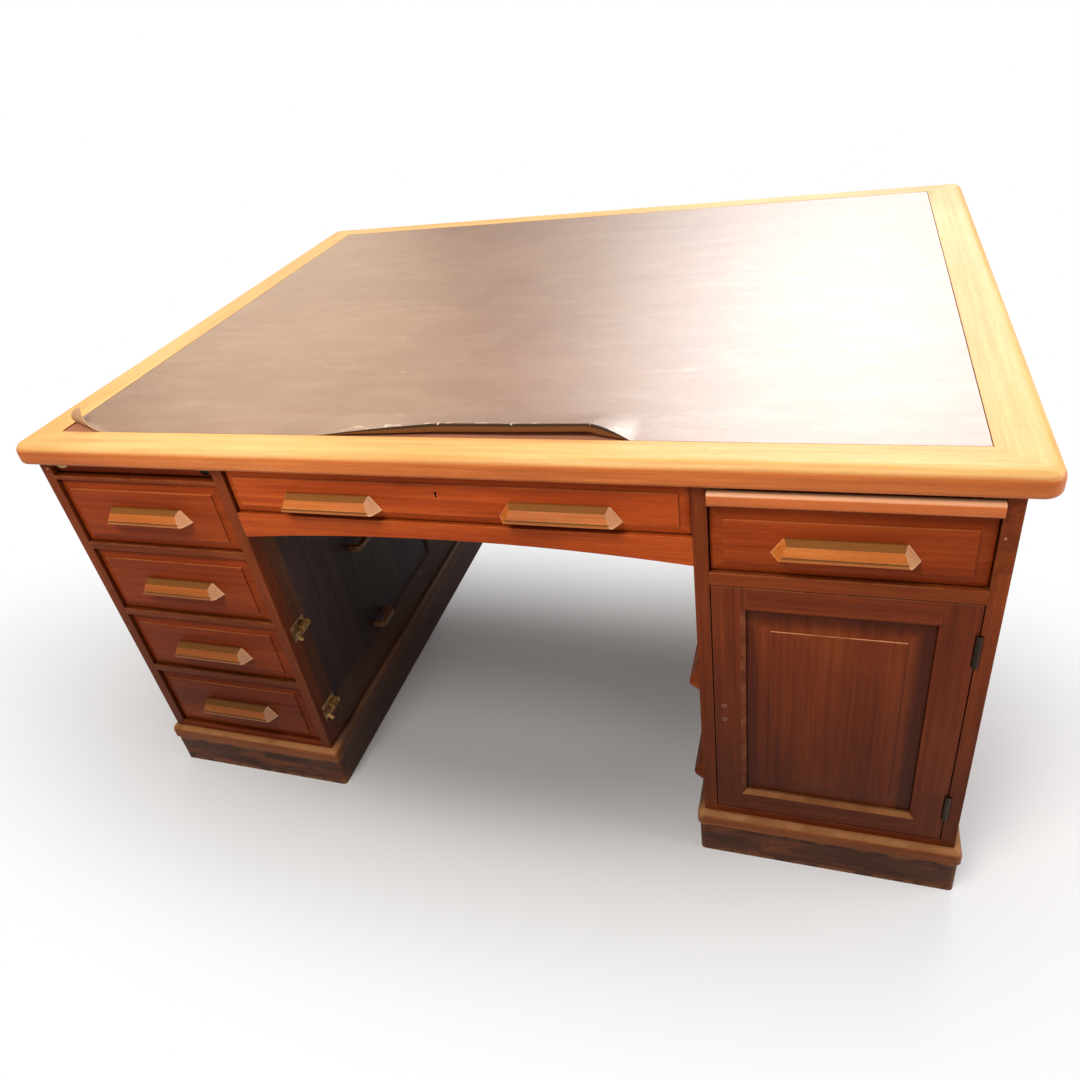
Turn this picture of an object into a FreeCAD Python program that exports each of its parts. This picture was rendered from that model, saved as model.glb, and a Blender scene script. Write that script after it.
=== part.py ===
import FreeCAD, Part
import math
import os

V = FreeCAD.Vector

# A partners desk: two pedestals and a kneehole under one leather-lined top. All lengths in millimetres.
# X runs along the width, the front user sits at -Y, Z is up from the floor.
# The rear half is the front half turned half a circle about Z, so both users find the same layout.

# Driving dimensions of the whole desk
top_width = 1524.0
top_depth = 1178.0
desk_height = 770.0
kneehole_width = 715.0
side_overhang = 34.0
front_overhang = 12.5

# Writing top: four mitred border boards round a panel that is lined with leather
top_thick = 37.0
border_side_width = 68.0
border_end_width = 55.0
top_corner_radius = 22.0
top_upper_round = 15.0
top_lower_round = 9.0
leather_thick = 2.5
leather_edge_gap = 1.0
top_panel_thick = 22.0

# Plinth: a base board with a rounded moulding above it, round the foot of each pedestal
plinth_height = 96.5
moulding_height = 26.0
moulding_projection = 12.0
moulding_upper_round = 11.0
moulding_corner_radius = 9.0
base_board_projection = 8.5
base_board_thick = 20.0
base_board_corner_radius = 7.0

# Pedestal carcass: framed sides, a floor and a partition half-way back
side_thick = 20.0
side_stile_width = 61.0
side_muntin_width = 71.0
side_top_rail = 110.0
side_bottom_rail = 72.0
side_panel_thick = 8.0
side_panel_recess = 5.0
side_bead_width = 8.0
floor_thick = 14.0
partition_thick = 16.0
rail_depth = 60.0
rail_thick = 14.0
cupboard_rail_thick = 21.0
runner_width = 24.0

# Writing slides in the top of each pedestal
slide_thick = 20.0
slide_gap = 1.0
slide_rail_thick = 6.0
kicker_thick = 5.0
slide_back_gap = 98.0
slide_nose_round = 6.0
slide_proud = 12.0
slide_recess = 12.0

# Drawers: fielded fronts and plain boxes
drawer_gap = 1.5
running_gap = 0.3
front_recess = 1.0
field_step = 2.0
bevel_rise = 4.0
bevel_width = 18.0
centre_bevel_width = 14.0
front_edge_thick = 15.0
box_side_gap = 2.0
box_side_thick = 11.0
box_back_thick = 11.0
box_bottom_thick = 6.0
box_bottom_rise = 8.0
box_top_drop = 14.0
box_back_gap = 46.0
stack_height_shares = (0.241, 0.256, 0.24, 0.263)
cupboard_drawer_height = 106.0
centre_drawer_height = 83.0

# Centre section over the kneehole
apron_height = 46.0
apron_rise = 18.0
apron_thick = 20.0
centre_runner_height = 18.0

# Wooden bar pulls with ends cut off at a slant; the section runs round from the top of the back
pull_length = 176.0
pull_height = 24.0
pull_depth = 21.0
pull_top_inset = 16.0
pull_front_inset = 12.0
pull_section_shares = ((0, 1), (0.16, 1), (0.62, 0.8), (0.93, 0.3), (0.86, 0.27), (1, 0.21),
                       (0.98, 0.06), (0.84, 0), (0, 0))
pull_hollow_shares = ((0, 0), (0, 0.42), (0.48, 0.42), (0.7, 0))
pull_hollow_end = 34.0
centre_pull_inset = 177.5
stack_pull_shares = (0.52, 0.5, 0.48, 0.48)
cupboard_pull_share = 0.48
centre_pull_share = 0.38

# Cupboard door: a moulded frame with a fielded panel, hung on two butt hinges
door_gap = 1.5
door_thick = 20.0
door_recess = 0.5
door_stile_width = 45.0
door_rail_width = 43.0
door_mould_width = 7.0
door_mould_depth = 5.0
door_panel_recess = 3.0
door_panel_edge_thick = 6.0
door_bevel_rise = 4.0
door_bevel_width = 33.0
handle_hole_inset = 14.0
handle_hole_radius = 1.7
handle_hole_depth = 12.0
handle_hole_distance = 28.5
handle_hole_height = 330.0
hinge_length = 52.0
hinge_leaf_width = 16.0
hinge_leaf_thick = 1.4
hinge_knuckle_radius = 4.0
hinge_pin_radius = 1.6
hinge_pin_gap = 0.08
hinge_knuckle_gap = 0.4
hinge_proud = 1.0
hinge_end_distance = 50.0

# Lock of the centre drawers
lock_width = 62.0
lock_height = 40.0
lock_thick = 12.0
lock_top_drop = 8.0
keyhole_radius = 2.6
keyhole_slot_width = 2.4
keyhole_slot_length = 8.0
keyhole_top_drop = 30.0

# Fittings on the kneehole sides, front half
bolt_plate_length = 42.0
bolt_plate_height = 34.0
bolt_plate_thick = 1.5
bolt_barrel_radius = 6.0
bolt_barrel_length = 22.0
bolt_rod_radius = 3.0
bolt_rod_gap = 0.3
bolt_rod_length = 46.0
bolt_knob_radius = 3.4
bolt_knob_length = 13.0
bolt_front_inset = 13.0
bolt_heights = (176.0, 376.0)
loop_length = 54.0
loop_reach = 26.0
loop_wire = 10.0
loop_front_inset = 253.0
loop_heights = (192.0, 392.0)
grip_front_inset = 24.0
grip_heights = (149.0, 357.0)

# Overrun of every cut past the face it opens, and the sides that a small drilled hole is drawn with
overrun = 2.0
small_hole_sides = 10

# Planes and levels that the pieces share
half_width = top_width / 2
half_depth = top_depth / 2
carcass_top = desk_height - top_thick
face_y = front_overhang - half_depth
inner_x = kneehole_width / 2
outer_x = half_width - side_overhang
opening_x0 = inner_x + side_thick
opening_x1 = outer_x - side_thick
floor_top = plinth_height + floor_thick
slide_top = carcass_top - kicker_thick - slide_gap
slide_bottom = slide_top - slide_thick
slide_rail_top = slide_bottom - running_gap
drawers_top = slide_rail_top - slide_rail_thick
cupboard_rail_top = drawers_top - cupboard_drawer_height
door_top = cupboard_rail_top - cupboard_rail_thick
centre_floor = carcass_top - centre_drawer_height
apron_bottom = centre_floor - apron_height
half_partition = partition_thick / 2
box_end_y = -half_partition - box_back_gap
hinge_axis_x = opening_x1 - door_gap / 2
half_knuckle_room = hinge_knuckle_radius + hinge_knuckle_gap
knuckle_room_y = face_y - hinge_proud + half_knuckle_room
field_y = face_y + front_recess
front_edge_y = field_y + field_step + bevel_rise
front_back_y = front_edge_y + front_edge_thick

nodes = {}


def block(low, high):
    """A box between two corners."""
    size = high.sub(low)
    return Part.makeBox(size.x, size.y, size.z, low)


def spread(points, plane, level):
    """Flat points placed on an XY, XZ or YZ plane at a level."""
    if plane == "xy":
        return [V(u, v, level) for u, v in points]
    if plane == "xz":
        return [V(u, level, v) for u, v in points]
    return [V(level, u, v) for u, v in points]


def outline(points):
    """A closed polygon through 3-D points."""
    return Part.makePolygon(points + [points[0]])


def prism(points, plane, start, end):
    """A flat outline pulled from one level to another."""
    reach = spread([(0, 0)], plane, end - start)[0]
    return Part.Face(outline(spread(points, plane, start))).extrude(reach)


def rectangle(u0, v0, u1, v1, inset):
    """The corners of a rectangle, drawn in by an inset."""
    low_u, low_v, high_u, high_v = u0 + inset, v0 + inset, u1 - inset, v1 - inset
    return [(low_u, low_v), (high_u, low_v), (high_u, high_v), (low_u, high_v)]


def tapered(wide, narrow):
    """A block whose flat sides join two outlines with as many corners."""
    faces = [Part.Face(outline(wide)), Part.Face(outline(narrow))]
    for i in range(len(wide)):
        j = (i + 1) % len(wide)
        faces.append(Part.Face(outline([wide[i], wide[j], narrow[j], narrow[i]])))
    shell = Part.makeShell(faces)
    shell.sewShape()
    return Part.makeSolid(shell)


def taper(corners, inset, plane, start, end):
    """A four-sided block that narrows by an inset from one level to another."""
    wide = spread(rectangle(*corners, 0), plane, start)
    narrow = spread(rectangle(*corners, inset), plane, end)
    return tapered(wide, narrow)


def mitred(ring, outer, inner, plane, start, end):
    """A ring cut at its corners into four boards."""
    far = rectangle(*outer, 0)
    near = rectangle(*inner, 0)
    boards = []
    for i in range(len(far)):
        j = (i + 1) % len(far)
        boards.append(ring.common(prism([far[i], far[j], near[j], near[i]], plane, start, end)))
    return boards


def round_cornered(outer, start, end, corner):
    """A slab with round corners in plan."""
    slab = prism(rectangle(*outer, 0), "xy", start, end)
    upright = [e for e in slab.Edges if e.BoundBox.ZLength > (end - start) / 2]
    return slab.makeFillet(corner, upright)


def eased(slab, upper, lower):
    """A slab rounded along its upper edges and, where a lower radius is given, along its lower ones."""
    middle = slab.BoundBox.Center.z
    slab = slab.makeFillet(upper, [e for e in slab.Edges if e.BoundBox.ZMin > middle])
    if lower:
        slab = slab.makeFillet(lower, [e for e in slab.Edges if e.BoundBox.ZMax < middle])
    return slab


def small_hole(radius, x, z, start, end):
    """A drilled hole along Y."""
    angles = [2 * math.pi * i / small_hole_sides for i in range(small_hole_sides)]
    return prism([(x + radius * math.cos(a), z + radius * math.sin(a)) for a in angles], "xz", start, end)


def half_turn(shape):
    """The same piece on the other user's side."""
    turned = shape.copy()
    turned.rotate(V(0, 0, 0), V(0, 0, 1), 180)
    return turned


def add(name, pieces):
    nodes.setdefault(name, []).extend(pieces)


def add_pair(front_name, rear_name, pieces):
    """A piece of the front half and its twin in the rear half."""
    add(front_name, pieces)
    add(rear_name, [half_turn(piece) for piece in pieces])


def fielded_board(corners, back, edge, rise, step, bevel):
    """A board with a bevelled border that climbs to a raised flat field, facing -Y."""
    u0, v0, u1, v1 = corners
    board = prism(rectangle(u0, v0, u1, v1, 0), "xz", edge, back)
    border = taper(corners, bevel, "xz", edge, edge - rise)
    field = prism(rectangle(u0, v0, u1, v1, bevel), "xz", edge - rise - step, edge)
    return board.fuse([border, field]).removeSplitter()


def faceted_bar(middle_x, middle_z):
    """A wooden bar with a lip along its lower edge and slanted ends, on a drawer's field."""
    low = middle_z - pull_height / 2
    section = [(field_y - a * pull_depth, low + b * pull_height) for a, b in pull_section_shares]
    bar = prism(section, "yz", middle_x - pull_length / 2, middle_x + pull_length / 2)
    ends = []
    for inset, level in ((0, field_y), (pull_front_inset, field_y - pull_depth)):
        foot = pull_length / 2 - inset
        head = foot - pull_top_inset
        flat = [(middle_x - foot, low), (middle_x + foot, low),
                (middle_x + head, low + pull_height), (middle_x - head, low + pull_height)]
        ends.append(spread(flat, "xz", level))
    return bar.common(tapered(*ends))


def bar_pull(middle_x, middle_z):
    """A faceted bar hollowed out below for the finger tips, up to a distance from its ends."""
    low = middle_z - pull_height / 2
    half = pull_length / 2 - pull_hollow_end
    flat = [(field_y - a * pull_depth, low + b * pull_height) for a, b in pull_hollow_shares]
    return faceted_bar(middle_x, middle_z).cut(prism(flat, "yz", middle_x - half, middle_x + half))


def drawer(x0, x1, z0, z1, bevel, side_gap):
    """A drawer in an opening: fielded front, two sides, back and bottom."""
    front_corners = (x0 + drawer_gap, z0 + drawer_gap, x1 - drawer_gap, z1 - drawer_gap)
    front = fielded_board(front_corners, front_back_y, front_edge_y, bevel_rise, field_step, bevel)
    left = x0 + side_gap
    right = x1 - side_gap
    low = z0 + running_gap
    high = z1 - box_top_drop
    end = box_end_y
    inner_left = left + box_side_thick
    inner_right = right - box_side_thick
    pieces = [front]
    pieces.append(block(V(left, front_back_y, low), V(inner_left, end, high)))
    pieces.append(block(V(inner_right, front_back_y, low), V(right, end, high)))
    pieces.append(block(V(inner_left, end - box_back_thick, low), V(inner_right, end, high)))
    bottom_low = low + box_bottom_rise
    bottom_end = end - box_back_thick
    bottom_high = bottom_low + box_bottom_thick
    pieces.append(block(V(inner_left, front_back_y, bottom_low), V(inner_right, bottom_end, bottom_high)))
    return pieces


def add_drawer(names, opening, bevel, side_gap, pull_places, pull_share, front_cuts=()):
    """A drawer of the front half with its pulls, and its twin; the cuts go through its front."""
    front_name, rear_name = names
    x0, x1, z0, z1 = opening
    pieces = drawer(x0, x1, z0, z1, bevel, side_gap)
    if front_cuts:
        pieces[0] = pieces[0].cut(front_cuts)
    add_pair(front_name, rear_name, pieces)
    pull_z = z0 + pull_share * (z1 - z0)
    pulls = [bar_pull(x, pull_z) for x in pull_places]
    add_pair(front_name + "_pull", rear_name + "_pull", pulls)


def build_top():
    outer = (-half_width, -half_depth, half_width, half_depth)
    inner = (border_side_width - half_width, border_end_width - half_depth,
             half_width - border_side_width, half_depth - border_end_width)
    slab = round_cornered(outer, carcass_top, desk_height, top_corner_radius)
    slab = eased(slab, top_upper_round, top_lower_round)
    ring = slab.cut(prism(rectangle(*inner, 0), "xy", carcass_top - overrun, desk_height + overrun))
    add("top_border", mitred(ring, outer, inner, "xy", carcass_top, desk_height))
    panel_top = desk_height - leather_thick
    panel_low = panel_top - top_panel_thick
    add("top_panel", [prism(rectangle(*inner, 0), "xy", panel_low, panel_top)])
    add("top_leather", [prism(rectangle(*inner, leather_edge_gap), "xy", panel_top, desk_height)])


def framed_side(visible_x, inward):
    """A pedestal side of framed panels; inward points from its visible face into the pedestal."""
    back_x = visible_x + inward * side_thick
    x0 = min(visible_x, back_x)
    x1 = max(visible_x, back_x)
    stile_y = -face_y - side_stile_width
    half_muntin = side_muntin_width / 2
    top_rail_z = carcass_top - side_top_rail
    bottom_rail_z = plinth_height + side_bottom_rail
    frame = [block(V(x0, face_y, plinth_height), V(x1, -stile_y, carcass_top)),
             block(V(x0, stile_y, plinth_height), V(x1, -face_y, carcass_top)),
             block(V(x0, -stile_y, top_rail_z), V(x1, stile_y, carcass_top)),
             block(V(x0, -stile_y, plinth_height), V(x1, stile_y, bottom_rail_z)),
             block(V(x0, -half_muntin, bottom_rail_z), V(x1, half_muntin, top_rail_z))]
    panel_face = visible_x + inward * side_panel_recess
    panel_back = panel_face + inward * side_panel_thick
    panels = []
    for y0, y1 in ((-stile_y, -half_muntin), (half_muntin, stile_y)):
        corners = (y0, bottom_rail_z, y1, top_rail_z)
        panels.append(prism(rectangle(*corners, 0), "yz", panel_face, panel_back))
        hole = taper(corners, side_bead_width, "yz", visible_x, panel_face)
        ring = prism(rectangle(*corners, 0), "yz", visible_x, panel_face).cut(hole)
        inner = (y0 + side_bead_width, bottom_rail_z + side_bead_width,
                 y1 - side_bead_width, top_rail_z - side_bead_width)
        panels.extend(mitred(ring, corners, inner, "yz", visible_x, panel_face))
    return frame, panels


def hinge_places():
    """Lower ends of the two door hinges."""
    return (floor_top + hinge_end_distance, door_top - hinge_end_distance - hinge_length)


def hinge_cylinder(radius, z0, length):
    return Part.makeCylinder(radius, length, V(hinge_axis_x, face_y - hinge_proud, z0))


def knuckle_room(z0):
    """A notch for a hinge's knuckles in the edges of the door and its frame."""
    low = V(hinge_axis_x - half_knuckle_room, face_y - overrun, z0)
    return block(low, V(hinge_axis_x + half_knuckle_room, knuckle_room_y, z0 + hinge_length))


def hinge_leaf_plate(x0, z0, start_y):
    """A hinge plate let in flush with the edge that it is screwed to."""
    low = V(x0, start_y, z0)
    return block(low, V(x0 + hinge_leaf_thick, face_y + hinge_leaf_width, z0 + hinge_length))


def hinge_tongue(x0, z0, length):
    """The part of a hinge plate that reaches forward into a knuckle."""
    low = V(x0, face_y - hinge_proud, z0)
    return block(low, V(x0 + hinge_leaf_thick, knuckle_room_y, z0 + length))


def build_carcass():
    """Sides, floor, partition, rails and runners of the right pedestal, and the left one turned round."""
    outer_frame, outer_panels = framed_side(outer_x, -1)
    knee_frame, knee_panels = framed_side(inner_x, 1)
    for z0 in hinge_places():
        seat = hinge_leaf_plate(opening_x1, z0, face_y)
        outer_frame[0] = outer_frame[0].cut([seat, knuckle_room(z0)])
    add_pair("right_outer_frame", "left_outer_frame", outer_frame)
    add_pair("right_kneehole_frame", "left_kneehole_frame", knee_frame)
    add_pair("right_side_panels", "left_side_panels", outer_panels + knee_panels)
    floor = block(V(opening_x0, face_y, plinth_height), V(opening_x1, -face_y, floor_top))
    partition = block(V(opening_x0, -half_partition, floor_top), V(opening_x1, half_partition, carcass_top))
    add_pair("pedestal_inner_boards", "pedestal_inner_boards", [floor, partition])


def rail_and_runners(top, thick, x0, x1):
    """A rail across a pedestal's front and the runners behind it, back to the partition."""
    low = top - thick
    rail_back = face_y + rail_depth
    rail = block(V(x0, face_y, low), V(x1, rail_back, top))
    runners = [block(V(x0, rail_back, low), V(x0 + runner_width, -half_partition, top)),
               block(V(x1 - runner_width, rail_back, low), V(x1, -half_partition, top))]
    return rail, runners


def kickers(x0, x1):
    """Strips under the top that keep a pulled-out slide level."""
    low = carcass_top - kicker_thick
    return [block(V(x0, face_y, low), V(x0 + runner_width, -half_partition, carcass_top)),
            block(V(x1 - runner_width, face_y, low), V(x1, -half_partition, carcass_top))]


def slide(x0, x1, front):
    """A writing slide with a rounded nose."""
    low = V(x0 + slide_gap, front, slide_bottom)
    board = block(low, V(x1 - slide_gap, -half_partition - slide_back_gap, slide_top))
    across = [e for e in board.Edges if e.BoundBox.XLength > slide_thick]
    nose = [e for e in across if e.BoundBox.YMax < front + slide_gap]
    return board.makeFillet(slide_nose_round, nose)


def build_drawer_stack():
    """Left of each user: a writing slide over four drawers."""
    x0 = -opening_x1
    x1 = -opening_x0
    rails = []
    runners = kickers(x0, x1)
    rail, pair = rail_and_runners(slide_rail_top, slide_rail_thick, x0, x1)
    rails.append(rail)
    runners.extend(pair)
    top = drawers_top
    count = len(stack_height_shares)
    stack_height = drawers_top - floor_top - (count - 1) * rail_thick
    for number, height_share, pull_share in zip(range(1, count + 1), stack_height_shares, stack_pull_shares):
        low = floor_top if number == count else top - height_share * stack_height
        opening = (x0, x1, low, top)
        names = ("front_left_drawer_%d" % number, "rear_right_drawer_%d" % number)
        add_drawer(names, opening, bevel_width, box_side_gap, [(x0 + x1) / 2], pull_share)
        if number < count:
            rail, pair = rail_and_runners(low, rail_thick, x0, x1)
            rails.append(rail)
            runners.extend(pair)
        top = low - rail_thick
    add_pair("drawer_rails", "drawer_rails", rails)
    add_pair("drawer_runners", "drawer_runners", runners)
    add_pair("front_left_slide", "rear_right_slide", [slide(x0, x1, face_y + slide_recess)])


def build_cupboard():
    """Right of each user: a writing slide, one drawer and a cupboard."""
    x0 = opening_x0
    x1 = opening_x1
    slide_rail, runners = rail_and_runners(slide_rail_top, slide_rail_thick, x0, x1)
    cupboard_rail, pair = rail_and_runners(cupboard_rail_top, cupboard_rail_thick, x0, x1)
    add_pair("drawer_rails", "drawer_rails", [slide_rail, cupboard_rail])
    add_pair("drawer_runners", "drawer_runners", runners + pair + kickers(x0, x1))
    add_pair("front_right_slide", "rear_left_slide", [slide(x0, x1, face_y - slide_proud)])
    opening = (x0, x1, cupboard_rail_top, drawers_top)
    names = ("front_right_drawer", "rear_left_drawer")
    add_drawer(names, opening, bevel_width, box_side_gap, [(x0 + x1) / 2], cupboard_pull_share)


def build_door():
    """Cupboard door of four framed boards and a fielded panel, with its hinges."""
    x0 = opening_x0 + door_gap
    x1 = opening_x1 - door_gap
    z0 = floor_top + door_gap
    z1 = door_top - door_gap
    front = face_y + door_recess
    back = front + door_thick
    sight = (x0 + door_stile_width, z0 + door_rail_width, x1 - door_stile_width, z1 - door_rail_width)
    u0, v0, u1, v1 = sight
    board = prism(rectangle(x0, z0, x1, z1, 0), "xz", front, back)
    hole = prism(rectangle(*sight, 0), "xz", front - overrun, back + overrun)
    moulded = (u0 - door_mould_width, v0 - door_mould_width, u1 + door_mould_width, v1 + door_mould_width)
    ring = board.cut([hole, taper(moulded, door_mould_width, "xz", front, front + door_mould_depth)])
    stiles = [ring.common(prism(rectangle(x0, z0, u0, z1, 0), "xz", front, back)),
              ring.common(prism(rectangle(u1, z0, x1, z1, 0), "xz", front, back))]
    rails = [ring.common(prism(rectangle(u0, z0, u1, v0, 0), "xz", front, back)),
             ring.common(prism(rectangle(u0, v1, u1, z1, 0), "xz", front, back))]
    fixed_leaves = []
    door_leaves = []
    third = hinge_length / 3
    for low in hinge_places():
        fixed = [hinge_cylinder(hinge_pin_radius, low, hinge_length)]
        for end in (low, low + 2 * third):
            fixed.append(hinge_cylinder(hinge_knuckle_radius, end, third))
            fixed.append(hinge_tongue(opening_x1, end, third))
        fixed_plate = hinge_leaf_plate(opening_x1, low, knuckle_room_y)
        fixed_leaves.append(fixed_plate.fuse(fixed).removeSplitter())
        door_x = x1 - hinge_leaf_thick
        knuckle_low = low + third + hinge_knuckle_gap
        knuckle_length = third - 2 * hinge_knuckle_gap
        knuckle = hinge_cylinder(hinge_knuckle_radius, knuckle_low, knuckle_length)
        tongue = hinge_tongue(door_x, knuckle_low, knuckle_length)
        bore = hinge_cylinder(hinge_pin_radius + hinge_pin_gap, low, hinge_length)
        plate = hinge_leaf_plate(door_x, low, knuckle_room_y)
        door_leaves.append(plate.fuse([knuckle, tongue]).cut(bore).removeSplitter())
        seat = hinge_leaf_plate(door_x, low, face_y)
        stiles[1] = stiles[1].cut([seat, knuckle_room(low)])
    for offset in (-handle_hole_distance / 2, handle_hole_distance / 2):
        hole_x = x0 + handle_hole_inset
        hole_z = handle_hole_height + offset
        hole_end = front + handle_hole_depth
        stiles[0] = stiles[0].cut(small_hole(handle_hole_radius, hole_x, hole_z, front - overrun, hole_end))
    panel_edge = front + door_panel_recess + field_step + door_bevel_rise
    panel = fielded_board(sight, panel_edge + door_panel_edge_thick, panel_edge,
                          door_bevel_rise, field_step, door_bevel_width)
    add_pair("front_right_door_frame", "rear_left_door_frame", stiles + rails)
    add_pair("front_right_door_panel", "rear_left_door_panel", [panel])
    add_pair("front_right_door_hinges", "rear_left_door_hinges", door_leaves)
    add_pair("carcass_hinge_leaves", "carcass_hinge_leaves", fixed_leaves)


def build_centre():
    """Centre drawers over the kneehole, their lock, the arched aprons and the runners."""
    opening = (-inner_x, inner_x, centre_floor, carcass_top)
    pull_places = [centre_pull_inset - inner_x, inner_x - centre_pull_inset]
    names = ("front_centre_drawer", "rear_centre_drawer")
    box_gap = (side_thick - box_side_thick) / 2
    keyhole_z = carcass_top - keyhole_top_drop
    keyhole_start = field_y - overrun
    keyhole_end = front_back_y + overrun
    eye = small_hole(keyhole_radius, 0, keyhole_z, keyhole_start, keyhole_end)
    half_slot = keyhole_slot_width / 2
    slot = block(V(-half_slot, keyhole_start, keyhole_z - keyhole_slot_length),
                 V(half_slot, keyhole_end, keyhole_z))
    add_drawer(names, opening, centre_bevel_width, box_gap, pull_places, centre_pull_share, [eye, slot])
    lock_top = carcass_top - box_top_drop - lock_top_drop
    case = block(V(-lock_width / 2, front_back_y, lock_top - lock_height),
                 V(lock_width / 2, front_back_y + lock_thick, lock_top))
    add_pair("front_centre_lock", "rear_centre_lock", [case])
    ends = [V(-inner_x, face_y, apron_bottom), V(inner_x, face_y, apron_bottom)]
    crown = V(0, face_y, apron_bottom + apron_rise)
    arch = Part.Arc(ends[0], crown, ends[1]).toShape()
    upper = [V(inner_x, face_y, centre_floor), V(-inner_x, face_y, centre_floor)]
    rest = Part.makePolygon([ends[1]] + upper + [ends[0]])
    apron = Part.Face(Part.Wire([arch] + rest.Edges)).extrude(V(0, apron_thick, 0))
    add_pair("front_apron", "rear_apron", [apron])
    runner_low = centre_floor - centre_runner_height
    runner_y = -face_y - apron_thick
    runner = block(V(inner_x - runner_width, -runner_y, runner_low), V(inner_x, runner_y, centre_floor))
    add_pair("centre_runners", "centre_runners", [runner])
    stop = block(V(-inner_x, -half_partition, centre_floor), V(inner_x, half_partition, carcass_top))
    add("centre_runners", [stop])


def build_plinths():
    """Base boards and mouldings, mitred round the foot of each pedestal."""
    board_top = plinth_height - moulding_height
    seat = base_board_thick - base_board_projection
    inner = (inner_x + seat, face_y + seat, outer_x - seat, -face_y - seat)
    hollow = prism(rectangle(*inner, 0), "xy", -overrun, plinth_height + overrun)

    def outer(projection):
        return (inner_x - projection, face_y - projection, outer_x + projection, projection - face_y)

    board_outer = outer(base_board_projection)
    boards = round_cornered(board_outer, 0, board_top, base_board_corner_radius).cut(hollow)
    add_pair("right_plinth", "left_plinth", mitred(boards, board_outer, inner, "xy", 0, board_top))
    moulding_outer = outer(moulding_projection)
    moulding = round_cornered(moulding_outer, board_top, plinth_height, moulding_corner_radius)
    moulding = eased(moulding, moulding_upper_round, 0).cut(hollow)
    pieces = mitred(moulding, moulding_outer, inner, "xy", board_top, plinth_height)
    add_pair("plinth_mouldings", "plinth_mouldings", pieces)


def build_kneehole_fittings():
    """Brass barrel bolts and loop handles on the left side of the kneehole, grip bars on the right side."""
    plate_y = face_y + bolt_front_inset
    for name, middle_z in zip(("lower_bolt_rod", "upper_bolt_rod"), bolt_heights):
        face_x = -inner_x
        axis_x = face_x + bolt_plate_thick + bolt_barrel_radius
        half_plate = bolt_plate_height / 2
        plate = block(V(face_x, plate_y, middle_z - half_plate),
                      V(face_x + bolt_plate_thick, plate_y + bolt_plate_length, middle_z + half_plate))
        barrel_y = plate_y + (bolt_plate_length - bolt_barrel_length)
        barrel_end = V(axis_x, barrel_y, middle_z)
        barrel = Part.makeCylinder(bolt_barrel_radius, bolt_barrel_length, barrel_end, V(0, 1, 0))
        foot = block(V(face_x, barrel_y, middle_z - bolt_barrel_radius),
                     V(axis_x, barrel_y + bolt_barrel_length, middle_z + bolt_barrel_radius))
        tunnel = Part.makeCylinder(bolt_rod_radius + bolt_rod_gap, bolt_plate_length + overrun,
                                   V(axis_x, plate_y - overrun, middle_z), V(0, 1, 0))
        add("barrel_bolts", [plate.fuse([barrel, foot]).cut(tunnel).removeSplitter()])
        rod = Part.makeCylinder(bolt_rod_radius, bolt_rod_length, V(axis_x, plate_y, middle_z), V(0, 1, 0))
        knob_y = plate_y + bolt_knob_radius
        knob = Part.makeCylinder(bolt_knob_radius, bolt_knob_length, V(axis_x, knob_y, middle_z), V(1, 0, -1))
        add(name, [rod.fuse(knob).removeSplitter()])
    loop_x = -inner_x - side_panel_recess
    loop_y = face_y + loop_front_inset
    for middle_z in loop_heights:
        low = middle_z - loop_wire / 2
        arch = block(V(loop_x, loop_y, low), V(loop_x + loop_reach, loop_y + loop_length, low + loop_wire))
        uprights = [e for e in arch.Edges if e.BoundBox.ZLength > loop_wire / 2 and e.BoundBox.XMin > loop_x]
        arch = arch.makeFillet(loop_wire, uprights)
        hollow = block(V(loop_x, loop_y + loop_wire, low),
                       V(loop_x + loop_reach - loop_wire, loop_y + loop_length - loop_wire, low + loop_wire))
        add("kneehole_loops", [arch.cut(hollow)])
    grip_y = face_y + grip_front_inset + pull_length / 2
    for middle_z in grip_heights:
        bar = faceted_bar(0, middle_z)
        bar.rotate(V(0, field_y, 0), V(0, 0, 1), -90)
        bar.translate(V(inner_x, grip_y - field_y, 0))
        add("kneehole_grips", [bar])


build_top()
build_plinths()
build_carcass()
build_drawer_stack()
build_cupboard()
build_door()
build_centre()
build_kneehole_fittings()

os.makedirs("parts", exist_ok=True)
for name, pieces in nodes.items():
    shape = pieces[0] if len(pieces) == 1 else Part.makeCompound(pieces)
    shape.exportStep("parts/%s.step" % name)
print(len(nodes), "nodes,", sum(len(p) for p in nodes.values()), "pieces")
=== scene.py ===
import bisect
import bpy
import math
from mathutils import Matrix, Vector


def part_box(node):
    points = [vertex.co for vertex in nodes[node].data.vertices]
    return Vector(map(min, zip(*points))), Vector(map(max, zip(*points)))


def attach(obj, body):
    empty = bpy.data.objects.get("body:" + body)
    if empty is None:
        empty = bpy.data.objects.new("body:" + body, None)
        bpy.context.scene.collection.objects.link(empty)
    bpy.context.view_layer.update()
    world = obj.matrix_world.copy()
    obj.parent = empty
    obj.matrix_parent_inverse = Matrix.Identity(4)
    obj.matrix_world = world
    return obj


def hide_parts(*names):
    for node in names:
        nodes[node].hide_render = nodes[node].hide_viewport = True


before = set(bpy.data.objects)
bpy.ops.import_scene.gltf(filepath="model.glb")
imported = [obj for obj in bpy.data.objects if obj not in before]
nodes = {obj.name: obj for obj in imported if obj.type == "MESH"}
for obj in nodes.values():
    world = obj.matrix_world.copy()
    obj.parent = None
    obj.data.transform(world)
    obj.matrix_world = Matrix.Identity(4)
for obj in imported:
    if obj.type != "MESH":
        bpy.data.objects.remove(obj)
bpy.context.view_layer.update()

# Camera of the photograph: place in metres, turns in degrees, view centre as shares of the frame
CAMERA_PLACE = (0.5098, -1.4781, 1.3111)
CAMERA_PITCH = 33.173
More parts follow.
